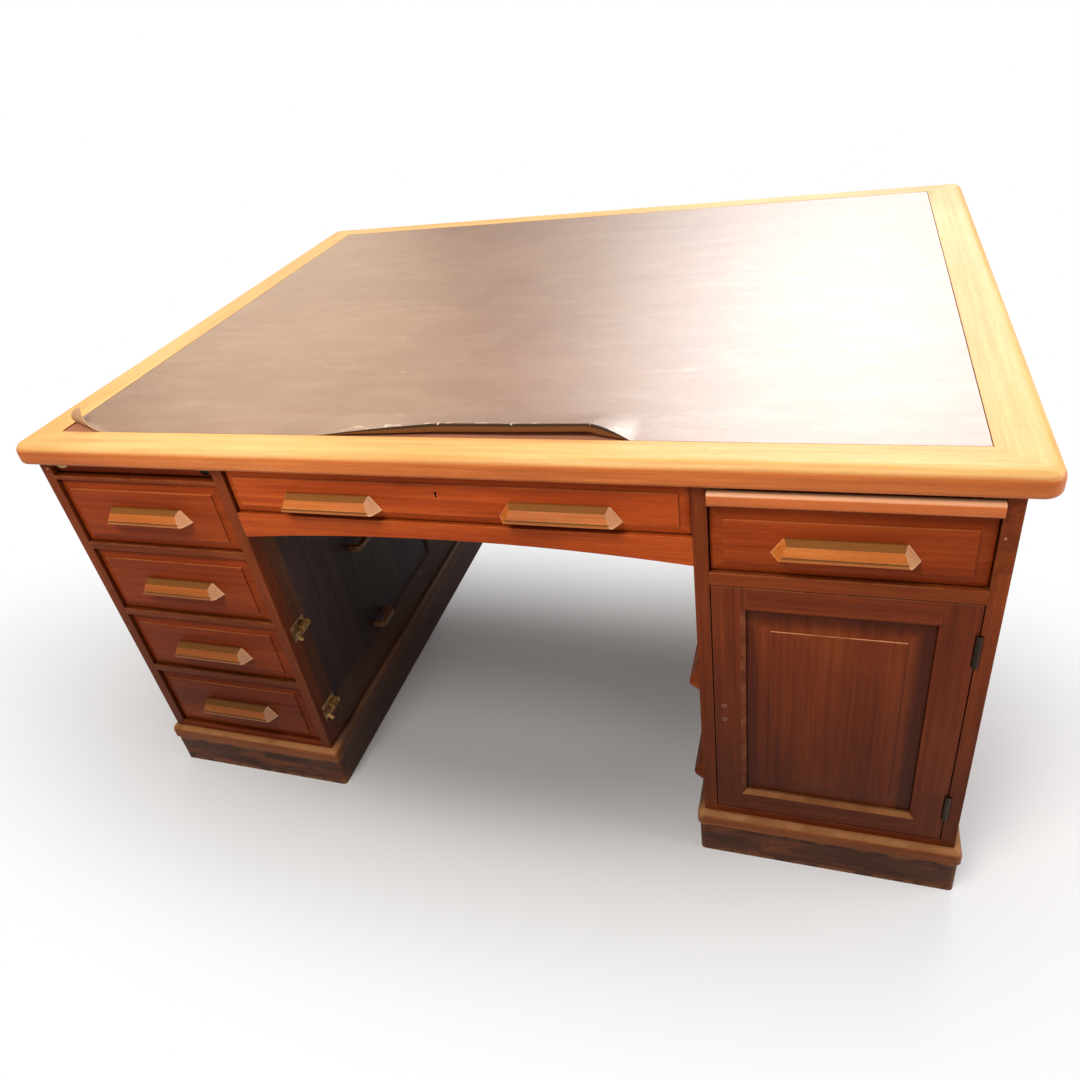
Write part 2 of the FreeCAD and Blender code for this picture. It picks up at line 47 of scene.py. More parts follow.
CAMERA_YAW = -23.811
CAMERA_ROLL = 10.676
CAMERA_LENS = 28.211
CAMERA_SENSOR = 36.0
CAMERA_SHIFT = (0.0249, -0.0198)


def add_camera():
    """A camera whose axes follow from its pitch, yaw and roll."""
    pitch, yaw, roll = (math.radians(a) for a in (CAMERA_PITCH, CAMERA_YAW, CAMERA_ROLL))
    forward = Vector((math.sin(yaw) * math.cos(pitch), math.cos(yaw) * math.cos(pitch), -math.sin(pitch)))
    level = Vector((math.cos(yaw), -math.sin(yaw), 0))
    down = forward.cross(level)
    right = math.cos(roll) * level + math.sin(roll) * down
    up = math.sin(roll) * level - math.cos(roll) * down
    data = bpy.data.cameras.new("camera")
    data.sensor_width = CAMERA_SENSOR
    data.lens = CAMERA_LENS
    data.shift_x, data.shift_y = CAMERA_SHIFT
    camera = bpy.data.objects.new("camera", data)
    axes = Matrix((right, up, -forward)).transposed().to_4x4()
    camera.matrix_world = Matrix.Translation(CAMERA_PLACE) @ axes
    bpy.context.scene.collection.objects.link(camera)
    bpy.context.scene.camera = camera


def paint(red, green, blue):
    """A colour written in display values from 0 to 255, as the shader wants it."""
    linear = []
    for value in (red, green, blue):
        value /= 255
        linear.append(value / 12.92 if value <= 0.04045 else ((value + 0.055) / 1.055) ** 2.4)
    return (*linear, 1)


AXES = {"x": 0, "y": 1, "z": 2}
BEVEL_SAMPLES = 4
OCCLUSION_SAMPLES = 6
EDGE_ROUNDING = 0.0012
NO_SHIFT = (0, 0, 0)

# Edges are paler where they face up and less so where they face down, partly as wear and partly as painted
# light from above: slopes from down to up, and the least share of wear and light
EDGE_LIGHT_SLOPES = (-0.05, 0.25)
LEAST_EDGE_WEAR_AND_LIGHT = 0.4


class Finish:
    """A material's nodes, with short calls for the ones that the finishes share."""

    def __init__(self, name):
        self.material = bpy.data.materials.new(name)
        self.material.use_nodes = True
        self.tree = self.material.node_tree
        self.shader = self.tree.nodes["Principled BSDF"]
        self.place = self.node("ShaderNodeTexCoord").outputs["Object"]
        parts = self.node("ShaderNodeSeparateXYZ", {0: self.place})
        self.x, self.y, self.z = parts.outputs

    def node(self, kind, inputs=None, **settings):
        made = self.tree.nodes.new(kind)
        for key, value in settings.items():
            setattr(made, key, value)
        for key, value in (inputs or {}).items():
            self.plug(made.inputs[key], value)
        return made

    def plug(self, socket, value):
        if isinstance(value, bpy.types.NodeSocket):
            self.tree.links.new(value, socket)
        else:
            socket.default_value = value

    def set(self, **inputs):
        """Values and links of the shader's own sockets, with _ for a space in their names."""
        for key, value in inputs.items():
            self.plug(self.shader.inputs[key.replace("_", " ")], value)

    def math(self, operation, first, second=0.0):
        return self.node("ShaderNodeMath", {0: first, 1: second}, operation=operation).outputs[0]

    def size_of(self, value):
        return self.math("ABSOLUTE", value)

    def both(self, first, second):
        """The product of two shares."""
        return self.math("MULTIPLY", first, second)

    def between(self, share, first, second):
        """A number that goes from first to second."""
        return self.node("ShaderNodeMix", {0: share, 2: first, 3: second}, data_type="FLOAT").outputs[0]

    def blend(self, share, first, second, mode="MIX"):
        """A colour that goes from first to second."""
        mixed = self.node("ShaderNodeMix", {0: share, 6: first, 7: second}, data_type="RGBA", blend_type=mode)
        return mixed.outputs[2]

    def over(self, colour, share, strength, shade):
        """A colour with a shade, in display values, laid over it at a strength where the share is 1."""
        return self.blend(self.both(share, strength), colour, paint(*shade))

    def ramp(self, value, low, high):
        """0 below low, 1 above high, and smooth between; low may be the larger."""
        inputs = {"Value": value, "From Min": low, "From Max": high}
        return self.node("ShaderNodeMapRange", inputs, interpolation_type="SMOOTHSTEP").outputs[0]

    def noise(self, scale, shift=NO_SHIFT, detail=3.0, roughness=0.5, distortion=0.0):
        """Noise from 0 to 1, with its own number of waves a metre along each axis."""
        spots = self.node("ShaderNodeMapping", {"Vector": self.place, "Location": shift, "Scale": scale})
        inputs = {"Vector": spots.outputs[0], "Scale": 1.0, "Detail": detail, "Roughness": roughness,
                  "Distortion": distortion}
        return self.node("ShaderNodeTexNoise", inputs).outputs[0]

    def edges(self, reach):
        """1 along outward edges, and less along those that face down, partly as wear and partly as painted
        light from above.
        """
        inside = self.node("ShaderNodeAmbientOcclusion", {"Distance": reach}, inside=True, only_local=True,
                           samples=OCCLUSION_SAMPLES)
        soft = self.node("ShaderNodeBevel", {"Radius": reach}, samples=BEVEL_SAMPLES)
        upward = self.node("ShaderNodeSeparateXYZ", {0: soft.outputs[0]}).outputs[2]
        wear_and_light = self.between(self.ramp(upward, *EDGE_LIGHT_SLOPES), LEAST_EDGE_WEAR_AND_LIGHT, 1.0)
        return self.both(self.math("SUBTRACT", 1.0, inside.outputs["AO"]), wear_and_light)

    def facing(self, axis, low, high):
        """1 on faces that look along an axis by more than high."""
        normal = self.node("ShaderNodeNewGeometry").outputs["True Normal"]
        return self.ramp(self.node("ShaderNodeSeparateXYZ", {0: normal}).outputs[AXES[axis]], low, high)

    def corners(self, reach):
        """1 in inward corners and narrow gaps."""
        open_air = self.node("ShaderNodeAmbientOcclusion", {"Distance": reach}, samples=OCCLUSION_SAMPLES)
        return self.math("SUBTRACT", 1.0, open_air.outputs["AO"])

    def relief(self, height, distance, strength, rounding=EDGE_ROUNDING):
        """The shader's normal: edges eased by a radius, then bumps."""
        soft = self.node("ShaderNodeBevel", {"Radius": rounding}, samples=BEVEL_SAMPLES)
        inputs = {"Height": height, "Distance": distance, "Strength": strength, "Normal": soft.outputs[0]}
        self.plug(self.shader.inputs["Normal"], self.node("ShaderNodeBump", inputs).outputs[0])


# Waves a metre of a wood's figure, streaks and pores: along the fibres, then across them
FIGURE_WAVES = (1.3, 10)
STREAK_WAVES = (3.5, 150)
PORE_WAVES = (55, 1300)

# How a wood's colours follow its grain
STREAK_SHARE = 0.42
DARK_TONE = 0.3
MIDDLE_TONE = 0.5
LIGHT_TONE = 0.7
PORE_RANGE = (0.58, 0.7)
PORE_DARKNESS = 0.5
CROSS_SHIFT = (5, 7, 3)


def stretched(axis, along, across):
    """Waves a metre along the fibres and across them."""
    scale = [across] * 3
    scale[AXES[axis]] = along
    return scale


def fibres(finish, axis, shift):
    """Broad figure, fine streaks and pores of wood whose fibres run along an axis."""
    figure = finish.noise(stretched(axis, *FIGURE_WAVES), shift, detail=4, roughness=0.6, distortion=0.7)
    streaks = finish.noise(stretched(axis, *STREAK_WAVES), shift, detail=3, roughness=0.65, distortion=0.2)
    pores = finish.noise(stretched(axis, *PORE_WAVES), shift, detail=2)
    return figure, streaks, pores


def crossed(finish, share, first, second):
    """Two directions of fibres, the second where the share is 1."""
    return [finish.between(share, a, b) for a, b in zip(first, second)]


class Wood:
    """Colours of one wood and how its surface has aged, with dirt and painted shade in its corners and
    painted light on its upper edges.
    """

    def __init__(self, dark, middle, light, worn_and_lit, grime_and_shade, roughness, edge_wear_and_light, dirt_and_shade, gloss):
        self.dark, self.middle, self.light = paint(*dark), paint(*middle), paint(*light)
        self.worn_and_lit = paint(*worn_and_lit)
        self.grime_and_shade = paint(*grime_and_shade)
        self.roughness = roughness
        self.edge_wear_and_light = edge_wear_and_light
        self.dirt_and_shade = dirt_and_shade
        self.gloss = gloss

    def colour(self, finish, grain):
        """The wood's colour along its grain, dark in the pores."""
        figure, streaks, pores = grain
        stops = finish.node("ShaderNodeValToRGB", {0: finish.between(STREAK_SHARE, figure, streaks)})
        ramp = stops.color_ramp
        ramp.elements[0].position = DARK_TONE
        ramp.elements[0].color = self.dark
        ramp.elements[1].position = LIGHT_TONE
        ramp.elements[1].color = self.light
        ramp.elements.new(MIDDLE_TONE).color = self.middle
        pits = finish.both(finish.ramp(pores, *PORE_RANGE), PORE_DARKNESS)
        return finish.blend(pits, stops.outputs[0], self.dark)


MAHOGANY = Wood(
    dark=(100, 35, 10), middle=(150, 59, 17), light=(182, 81, 27), worn_and_lit=(214, 130, 66),
    grime_and_shade=(24, 9, 4), roughness=0.34, edge_wear_and_light=0.45, dirt_and_shade=0.9, gloss=0.08)
# Painted light: a lighter copy of the mahogany for the centre drawer and the aprons, standing for the
# stronger light on the middle of the front
LIT_CENTRE_WOOD = Wood(
    dark=(120, 43, 14), middle=(176, 72, 25), light=(206, 95, 36), worn_and_lit=(226, 142, 78),
    grime_and_shade=(28, 11, 5), roughness=0.34, edge_wear_and_light=0.45, dirt_and_shade=0.9, gloss=0.08)
# Painted light: a lighter copy of the mahogany for the lips of the drawn slides, which stand out into the
# light
LIT_SLIDE_WOOD = Wood(
    dark=(172, 80, 30), middle=(216, 116, 52), light=(236, 146, 76), worn_and_lit=(246, 200, 150),
    grime_and_shade=(40, 16, 8), roughness=0.28, edge_wear_and_light=0.5, dirt_and_shade=0.8, gloss=0.3)
FRAME_WOOD = Wood(
    dark=(86, 34, 13), middle=(130, 57, 23), light=(162, 78, 34), worn_and_lit=(204, 128, 72),
    grime_and_shade=(20, 9, 5), roughness=0.36, edge_wear_and_light=0.5, dirt_and_shade=0.9, gloss=0.08)
DOOR_WOOD = Wood(
    dark=(82, 32, 12), middle=(128, 54, 21), light=(158, 75, 32), worn_and_lit=(206, 132, 80),
    grime_and_shade=(14, 6, 4), roughness=0.34, edge_wear_and_light=0.45, dirt_and_shade=0.95, gloss=0.1)
BORDER_EDGE = Wood(
    dark=(164, 80, 32), middle=(206, 112, 50), light=(228, 142, 74), worn_and_lit=(244, 184, 120),
    grime_and_shade=(84, 38, 16), roughness=0.36, edge_wear_and_light=0.3, dirt_and_shade=0.6, gloss=0.25)
# The border's upper faces: paler from bleaching, and from painted light falling from above
BORDER_TOP_BLEACHED_AND_LIT = Wood(
    dark=(212, 146, 78), middle=(230, 178, 106), light=(240, 202, 138), worn_and_lit=(246, 218, 164),
    grime_and_shade=(104, 54, 24), roughness=0.42, edge_wear_and_light=0.3, dirt_and_shade=0.4, gloss=0.22)
PULL_WOOD = Wood(
    dark=(148, 76, 28), middle=(194, 106, 44), light=(218, 134, 64), worn_and_lit=(236, 180, 116),
    grime_and_shade=(52, 28, 14), roughness=0.24, edge_wear_and_light=0.4, dirt_and_shade=0.8, gloss=0.25)
MOULDING_WOOD = Wood(
    dark=(104, 48, 20), middle=(166, 84, 36), light=(204, 116, 56), worn_and_lit=(228, 160, 94),
    grime_and_shade=(34, 17, 9), roughness=0.42, edge_wear_and_light=0.8, dirt_and_shade=0.9, gloss=0.12)
PLINTH_WOOD = Wood(
    dark=(56, 30, 18), middle=(98, 53, 30), light=(136, 78, 44), worn_and_lit=(196, 128, 68),
    grime_and_shade=(18, 10, 7), roughness=0.5, edge_wear_and_light=0.95, dirt_and_shade=0.8, gloss=0.15)
# Painted shade: darker copies of the frame wood for the faces in the kneehole, under the top
KNEE_SHADED_WOOD = Wood(
    dark=(62, 37, 24), middle=(98, 60, 40), light=(126, 80, 54), worn_and_lit=(160, 112, 76),
    grime_and_shade=(14, 8, 6), roughness=0.38, edge_wear_and_light=0.45, dirt_and_shade=0.9, gloss=0.15)
KNEE_SHADED_PANEL = Wood(
    dark=(50, 37, 35), middle=(80, 61, 57), light=(104, 80, 73), worn_and_lit=(150, 110, 84),
    grime_and_shade=(14, 9, 8), roughness=0.36, edge_wear_and_light=0.45, dirt_and_shade=0.8, gloss=0.15)
LOOP_WOOD = Wood(
    dark=(94, 58, 30), middle=(138, 90, 50), light=(170, 120, 74), worn_and_lit=(214, 166, 112),
    grime_and_shade=(26, 14, 8), roughness=0.35, edge_wear_and_light=0.6, dirt_and_shade=0.8, gloss=0.3)
LINING_WOOD = Wood(
    dark=(150, 104, 62), middle=(184, 138, 90), light=(205, 164, 116), worn_and_lit=(222, 190, 146),
    grime_and_shade=(80, 54, 32), roughness=0.6, edge_wear_and_light=0.3, dirt_and_shade=0.7, gloss=0.2)
UNDER_WOOD = Wood(
    dark=(150, 92, 66), middle=(184, 122, 92), light=(204, 146, 114), worn_and_lit=(222, 172, 140),
    grime_and_shade=(120, 76, 54), roughness=0.65, edge_wear_and_light=0.3, dirt_and_shade=0.2, gloss=0.2)

# Painted shade: woods are made darker towards the floor, where less light falls, from one height down to
# another
SHADE_HEIGHTS = (0.72, 0.05)
SHADE_TINT = (0.42, 0.44, 0.5, 1)

# Patches of darker, rougher polish
PATCH_WAVES = (2.6, 2.6, 2.6)
PATCH_RANGE = (0.42, 0.72)
PATCH_DARKNESS = 0.35
LESS_ROUGH = 0.07
MORE_ROUGH = 0.1

# Wear along the edges, broken up by scuffs, and dirt with painted shade in the corners
EDGE_REACH = 0.004
PULL_EDGE_REACH = 0.003
PLINTH_EDGE_REACH = 0.008
EDGE_RANGE = (0.08, 0.5)
EDGE_ROUGHNESS = 0.12
SCUFF_WAVES = (17, 17, 17)
SCUFF_SHIFT = (3, 1, 2)
SCUFF_RANGE = (0.34, 0.64)
LEAST_SCUFF = 0.3
CORNER_DIRT_AND_SHADE_REACH = 0.02
CORNER_DIRT_AND_SHADE_RANGE = (0.25, 0.95)

# Matt wood, and the relief of the grain
DULL_ROUGHNESS = 0.75
DULL_GLOSS = 0.1
STREAK_RELIEF = 0.5
PORE_RELIEF_RANGE = (0.56, 0.72)
GRAIN_HEIGHT = 0.00035
GRAIN_STRENGTH = 0.35


def wood_finish(name, wood, grain, inner=None, grain_of_inner=None, inner_share=None, edge_reach=EDGE_REACH,
                marks=(), dull=None, last_marks=()):
    """Aged, polished wood with its marks: the inner wood where inner_share is 1, matt where dull is 1."""
    finish = Finish(name)
    lines = grain(finish)
    colour = wood.colour(finish, lines)
    patches = finish.noise(PATCH_WAVES, detail=4, roughness=0.6, distortion=0.3)
    darker = finish.both(finish.ramp(patches, *PATCH_RANGE), PATCH_DARKNESS)
    colour = finish.blend(darker, colour, wood.dark)
    rough = finish.between(patches, wood.roughness - LESS_ROUGH, wood.roughness + MORE_ROUGH)
    rubbing = finish.noise(SCUFF_WAVES, SCUFF_SHIFT, detail=5, roughness=0.72, distortion=0.2)
    scuffs = finish.ramp(rubbing, *SCUFF_RANGE)
    edge = finish.both(finish.edges(edge_reach), finish.between(scuffs, LEAST_SCUFF, 1.0))
    edge = finish.ramp(edge, *EDGE_RANGE)
    # Worn edges, paler where they face up, partly as painted light
    colour = finish.blend(finish.both(edge, wood.edge_wear_and_light), colour, wood.worn_and_lit)
    if inner:
        inner_colour = inner.colour(finish, grain_of_inner(finish))
        share = inner_share(finish)
        colour = finish.blend(share, colour, inner_colour)
        rough = finish.between(share, rough, inner.roughness)
    for mark in marks:
        colour = mark(finish, colour)
    # Painted shade: the colour is darkened towards the floor
    colour = finish.blend(finish.ramp(finish.z, *SHADE_HEIGHTS), colour, SHADE_TINT, "MULTIPLY")
    # Dirt and painted shade: inward corners and narrow gaps are darkened
    dirt_and_shade = finish.ramp(finish.corners(CORNER_DIRT_AND_SHADE_REACH), *CORNER_DIRT_AND_SHADE_RANGE)
    colour = finish.blend(finish.both(dirt_and_shade, wood.dirt_and_shade), colour, wood.grime_and_shade)
    for mark in last_marks:
        colour = mark(finish, colour)
    rough = finish.math("ADD", rough, finish.both(edge, EDGE_ROUGHNESS))
    gloss = wood.gloss
    if dull:
        matt = dull(finish)
        rough = finish.between(matt, rough, DULL_ROUGHNESS)
        gloss = finish.between(matt, gloss, DULL_GLOSS)
    finish.set(Base_Color=colour, Roughness=rough, Specular_IOR_Level=gloss)
    _, streaks, pores = lines
    pits = finish.ramp(pores, *PORE_RELIEF_RANGE)
    height = finish.math("SUBTRACT", finish.both(streaks, STREAK_RELIEF), pits)
    finish.relief(height, GRAIN_HEIGHT, GRAIN_STRENGTH)
    return finish.material


def one_way(axis, shift=NO_SHIFT):
    """Grain along one axis; a shift gives a wood fibres of its own."""
    return lambda finish: fibres(finish, axis, shift)


def two_way(first_axis, second_axis, share):
    """Grain along one axis, and along another where the share is 1."""
    return lambda finish: crossed(finish, share(finish), fibres(finish, first_axis, NO_SHIFT),
                                  fibres(finish, second_axis, CROSS_SHIFT))


def dress(material, *names):
    """Give CAD nodes a material."""
    for name in names:
        for slot in nodes[name].material_slots:
            slot.material = material


# Planes where boards meet, read from the frame
front_y = -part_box("right_outer_frame")[0].y
outer_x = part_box("right_outer_frame")[1].x
inner_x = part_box("right_kneehole_frame")[0].x
top_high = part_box("top_border")[1]
leather_low, leather_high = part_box("top_leather")
door_low, door_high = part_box("front_right_door_frame")
panel_low, panel_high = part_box("front_right_door_panel")
side_panel_low, side_panel_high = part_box("right_side_panels")
drawer_front_y = -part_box("front_centre_lock")[0].y
plinth_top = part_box("left_plinth")[1].z
slide_lip_y = -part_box("front_right_slide")[0].y

# Boards that no box shows, in metres
HALF_MUNTIN = 0.0355
PLINTH_CORNER = 0.03

# Half the widths of the seams between two grains, in metres, or at the mitres in shares of a board's width
SEAM = 0.0002
PLINTH_SEAM = 0.0005
MITRE_SEAM = 0.004

# Distances over which marks fade, in metres
KNEE_FADE = (0.0005, 0.05)
SHADOW_AND_POLISH_AT_TOP = (0.034, 0.012)
SHADOW_AND_POLISH_AT_HINGES = (0.03, 0.012)
SHADOW_AND_POLISH_AT_LOCK = (0.02, 0.008)
BEHIND_FRONT = (0.0002, 0.0008)
LIP_END = 0.009
BOARD_START = 0.013
FOOT_WEAR = (0.012, 0.003)
HEAD_WEAR = (0.014, 0.004)
KNEE_EDGE = 0.001
KNEE_CORNER = (0.004, 0.03)

# Slopes from which a face counts as looking along an axis, and from which it does so wholly
LEDGE_SLOPES = (0.3, 0.6)
END_SLOPES = (0.3, 0.5)
UPPER_SLOPES = (0.2, 0.7)
FACET_SLOPES = (0.55, 0.75)

# Screw holes of the lost door handle: distance from the door's edge, heights, and radius of the pale rims
HANDLE_HOLE_INSET = 0.014
HANDLE_HOLE_HEIGHTS = (0.31575, 0.34425)
RIM_RADIUS = 0.0042

# The pushed-in slide's chip, and a dark spot painted as the shade inside a hole: distances from its end and
# from its top, and radii
CHIP_PLACE = (0.012, 0.006)
CHIP_RADII = (0.013, 0.01, 0.0055)
HOLE_PLACE = (0.022, 0.008)
HOLE_RADII = (0.011, 0.01, 0.008)

# Spots fade between these shares of their radii
SPOT_FADE = (1.0, 0.7)

# Small dents and bare patches: waves a metre, places in the noise, and the values over which they show
BREAK_SHIFT = (2, 6, 4)
NICK_WAVES = (75, 75, 75)
NICK_SHIFT = (4, 9, 1)
NICK_RANGE = (0.73, 0.76)
BARE_WAVES = (7, 7, 26)
BARE_SHIFT = (6, 2, 2)
BARE_RANGE = (0.48, 0.66)

# The pulls' right ends, rubbed and with a painted glint of light from the right: the wear and light of their
# edges, and how pale the rest of an end and its edges are painted
END_EDGE_RANGE = (0.12, 0.45)
END_RUB_AND_GLINT = (0.3, 0.42)

# Painted shadow and dark polish on the lock's side of a door's panel, as a share of those at its top and at
# the hinges
LOCK_SIDE_SHADOW_AND_POLISH = 0.6


def side_rails(finish):
    """1 on the level rails of a pedestal's side, 0 on its stiles and muntin."""
    depth = finish.size_of(finish.y)
    inside_stile = finish.ramp(depth, side_panel_high.y + SEAM, side_panel_high.y - SEAM)
    off_muntin = finish.ramp(depth, HALF_MUNTIN - SEAM, HALF_MUNTIN + SEAM)
    low_rail = finish.ramp(finish.z, side_panel_low.z + SEAM, side_panel_low.z - SEAM)
    high_rail = finish.ramp(finish.z, side_panel_high.z - SEAM, side_panel_high.z + SEAM)
    return finish.math("MAXIMUM", finish.both(inside_stile, off_muntin),
                       finish.math("MAXIMUM", low_rail, high_rail))


def door_stiles(finish):
    """1 on a door's upright boards."""
    middle = (door_low.x + door_high.x) / 2
    sight = (panel_high.x - panel_low.x) / 2
    off_centre = finish.size_of(finish.math("SUBTRACT", finish.size_of(finish.x), middle))
    return finish.ramp(off_centre, sight - SEAM, sight + SEAM)


def border_sides(finish):
    """1 on the two border boards that run from front to back, up to the mitres."""
    from_side = finish.math("SUBTRACT", top_high.x, finish.size_of(finish.x))
    from_end = finish.math("SUBTRACT", top_high.y, finish.size_of(finish.y))
    side_width = top_high.x - leather_high.x
    end_width = top_high.y - leather_high.y
    past = finish.math("SUBTRACT", finish.math("DIVIDE", from_end, end_width),
                       finish.math("DIVIDE", from_side, side_width))
    return finish.ramp(past, -MITRE_SEAM, MITRE_SEAM)


def plinth_sides(finish):
    """1 on the plinth boards that run from front to back."""
    corner_y = front_y - PLINTH_CORNER
    return finish.ramp(finish.size_of(finish.y), corner_y + PLINTH_SEAM, corner_y - PLINTH_SEAM)


def under_the_top(finish):
    """1 on the kneehole faces of a pedestal, which take the darker wood as painted shade under the top,
    fading to 0 towards its front edge.
    """
    start, end = KNEE_FADE
    return finish.ramp(finish.size_of(finish.y), front_y - start, front_y - end)


def kneehole_panels(finish):
    """1 on the panels that face the kneehole, which take the darker wood as painted shade, 0 on those of the
    outer sides.
    """
    middle = (outer_x + inner_x) / 2
    return finish.ramp(finish.size_of(finish.x), middle + SEAM, middle - SEAM)


def behind_front(finish):
    """1 on a drawer's box, 0 on its front and the front's inner face."""
    start, end = BEHIND_FRONT
    return finish.ramp(finish.size_of(finish.y), drawer_front_y - start, drawer_front_y - end)


def upper_faces(finish):
    """1 on faces that look up, with a soft change over a rounded edge."""
    return finish.facing("z", *UPPER_SLOPES)


def top_facets(finish):
    """1 on the facets that look up."""
    return finish.facing("z", *FACET_SLOPES)


def slide_board(finish):
    """1 on a drawn slide's board, 0 on its lip."""
    return finish.ramp(finish.size_of(finish.y), slide_lip_y - LIP_END, slide_lip_y - BOARD_START)


def broken(finish, waves, patches):
    """Patches from 0 to 1 that break a mark up."""
    spots = finish.noise((waves, waves, waves), BREAK_SHIFT, detail=4, roughness=0.65, distortion=0.3)
    return finish.ramp(spots, *patches)


def distance_from(finish, place, radii):
    """Distance from a place, 1 at a radius of its own along each axis."""
    offset = finish.node("ShaderNodeVectorMath", {0: finish.place, 1: place}, operation="SUBTRACT").outputs[0]
    shares = finish.node("ShaderNodeVectorMath", {0: offset, 1: radii}, operation="DIVIDE").outputs[0]
    return finish.node("ShaderNodeVectorMath", {0: shares}, operation="LENGTH").outputs["Value"]


def near(finish, place, radii):
    """1 at a place, falling to 0 at a radius of its own along each axis."""
    return finish.ramp(distance_from(finish, place, radii), *SPOT_FADE)


def dusty_tops(finish, colour):
    """Dull brown on the facets that look up."""
    return finish.over(colour, top_facets(finish), strength=0.85, shade=(116, 76, 34))


def worn_and_lit_faces(axis, waves, patches, least, strength, worn_and_lit):
    """A mark: polish rubbed pale and painted light, in patches, on the narrow ledges that look along an axis.
    """
    def mark(finish, colour):
        rub_and_light = finish.between(broken(finish, waves, patches), least, 1.0)
        return finish.over(colour, finish.both(finish.facing(axis, *LEDGE_SLOPES), rub_and_light), strength, worn_and_lit)
    return mark


def worn_and_lit_ledges(strength, worn_and_lit):
    """Wear and painted light on the ledges that look up."""
    return worn_and_lit_faces("z", waves=14, patches=(0.35, 0.6), least=0.45, strength=strength, worn_and_lit=worn_and_lit)


def worn_and_lit_sides(strength, worn_and_lit):
    """Wear and painted light from the right on the ledges that look to the right."""
    return worn_and_lit_faces("x", waves=24, patches=(0.4, 0.62), least=0.1, strength=strength, worn_and_lit=worn_and_lit)


def nicked(finish, colour):
    """A few small pale dents."""
    spots = finish.ramp(finish.noise(NICK_WAVES, NICK_SHIFT, detail=2), *NICK_RANGE)
    return finish.over(colour, spots, strength=0.7, shade=(206, 140, 92))


def scuffed(finish, colour):
    """Reddish patches where the dark polish has gone."""
    patches = finish.noise(BARE_WAVES, BARE_SHIFT, detail=5, roughness=0.7, distortion=0.5)
    return finish.over(colour, finish.ramp(patches, *BARE_RANGE), strength=0.8, shade=(164, 86, 44))


def polish_and_painted_shadow(finish, colour):
    """Painted shadow of the frame, with dark polish gathered, in the sunk border of a door's panel, most at
    its top and at the hinges.
    """
    x = finish.size_of(finish.x)
    top = finish.ramp(finish.math("SUBTRACT", panel_high.z, finish.z), *SHADOW_AND_POLISH_AT_TOP)
    hinges = finish.ramp(finish.math("SUBTRACT", panel_high.x, x), *SHADOW_AND_POLISH_AT_HINGES)
    lock = finish.ramp(finish.math("SUBTRACT", x, panel_low.x), *SHADOW_AND_POLISH_AT_LOCK)
    sides = finish.math("MAXIMUM", hinges, finish.both(lock, LOCK_SIDE_SHADOW_AND_POLISH))
    return finish.over(colour, finish.math("MAXIMUM", top, sides), strength=0.62, shade=(40, 15, 8))


def painted_lip_highlight(finish, colour):
    """A painted highlight along the upper edge of a drawn slide's lip."""
    on_lip = finish.math("SUBTRACT", 1.0, slide_board(finish))
    share = finish.both(finish.facing("z", *LEDGE_SLOPES), on_lip)
    return finish.over(colour, share, strength=0.45, shade=(250, 206, 164))


def rubbed_and_glinting_ends(finish, colour):
    """The pulls' right ends, painted pale as rubbing and as a glint of light from the right, most of all
    along their edges.
    """
    rub_and_light = finish.between(finish.ramp(finish.edges(PULL_EDGE_REACH), *END_EDGE_RANGE), *END_RUB_AND_GLINT)
    return finish.over(colour, finish.facing("x", *END_SLOPES), strength=rub_and_light, shade=(250, 214, 172))


def kicked_edges(finish, colour):
    """Bare wood along the foot of the plinth and under the moulding."""
    foot = finish.ramp(finish.z, *FOOT_WEAR)
    head = finish.ramp(finish.math("SUBTRACT", plinth_top, finish.z), *HEAD_WEAR)
    gaps = broken(finish, waves=30, patches=(0.42, 0.58))
    share = finish.both(finish.math("MAXIMUM", foot, head), gaps)
    return finish.over(colour, share, strength=0.7, shade=(206, 128, 66))


def painted_kneehole_shade(finish, colour):
    """In the kneehole the plinth and its moulding are painted darker as shade."""
    before, behind = KNEE_CORNER
    inside = finish.ramp(finish.size_of(finish.x), inner_x + KNEE_EDGE, inner_x - KNEE_EDGE)
    past_corner = finish.ramp(finish.size_of(finish.y), front_y + before, front_y - behind)
    return finish.over(colour, finish.both(inside, past_corner), strength=0.8, shade=(104, 76, 62))


def handle_rims(finish, colour):
    """Pale rims round the two screw holes of the lost handle."""
    for height in HANDLE_HOLE_HEIGHTS:
        for turn in (1, -1):
            place = (turn * (door_low.x + HANDLE_HOLE_INSET), turn * door_low.y, height)
            rim = near(finish, place, (RIM_RADIUS, RIM_RADIUS, RIM_RADIUS))
            colour = finish.over(colour, rim, strength=0.75, shade=(186, 130, 100))
    return colour


def chipped(finish, colour):
    """A pale chip at one end of the pushed-in slide's edge, and at the other a dark spot painted as the shade
    inside a hole.
    """
    low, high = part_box("front_left_slide")
    chip = near(finish, (low.x + CHIP_PLACE[0], low.y, high.z - CHIP_PLACE[1]), CHIP_RADII)
    colour = finish.over(colour, chip, strength=1.0, shade=(246, 208, 150))
    hole = near(finish, (high.x - HOLE_PLACE[0], low.y, high.z - HOLE_PLACE[1]), HOLE_RADII)
    return finish.over(colour, hole, strength=1.0, shade=(20, 14, 12))


pulls = [n for n in nodes if n.endswith("_pull")]
drawers = [n.removesuffix("_pull") for n in pulls]
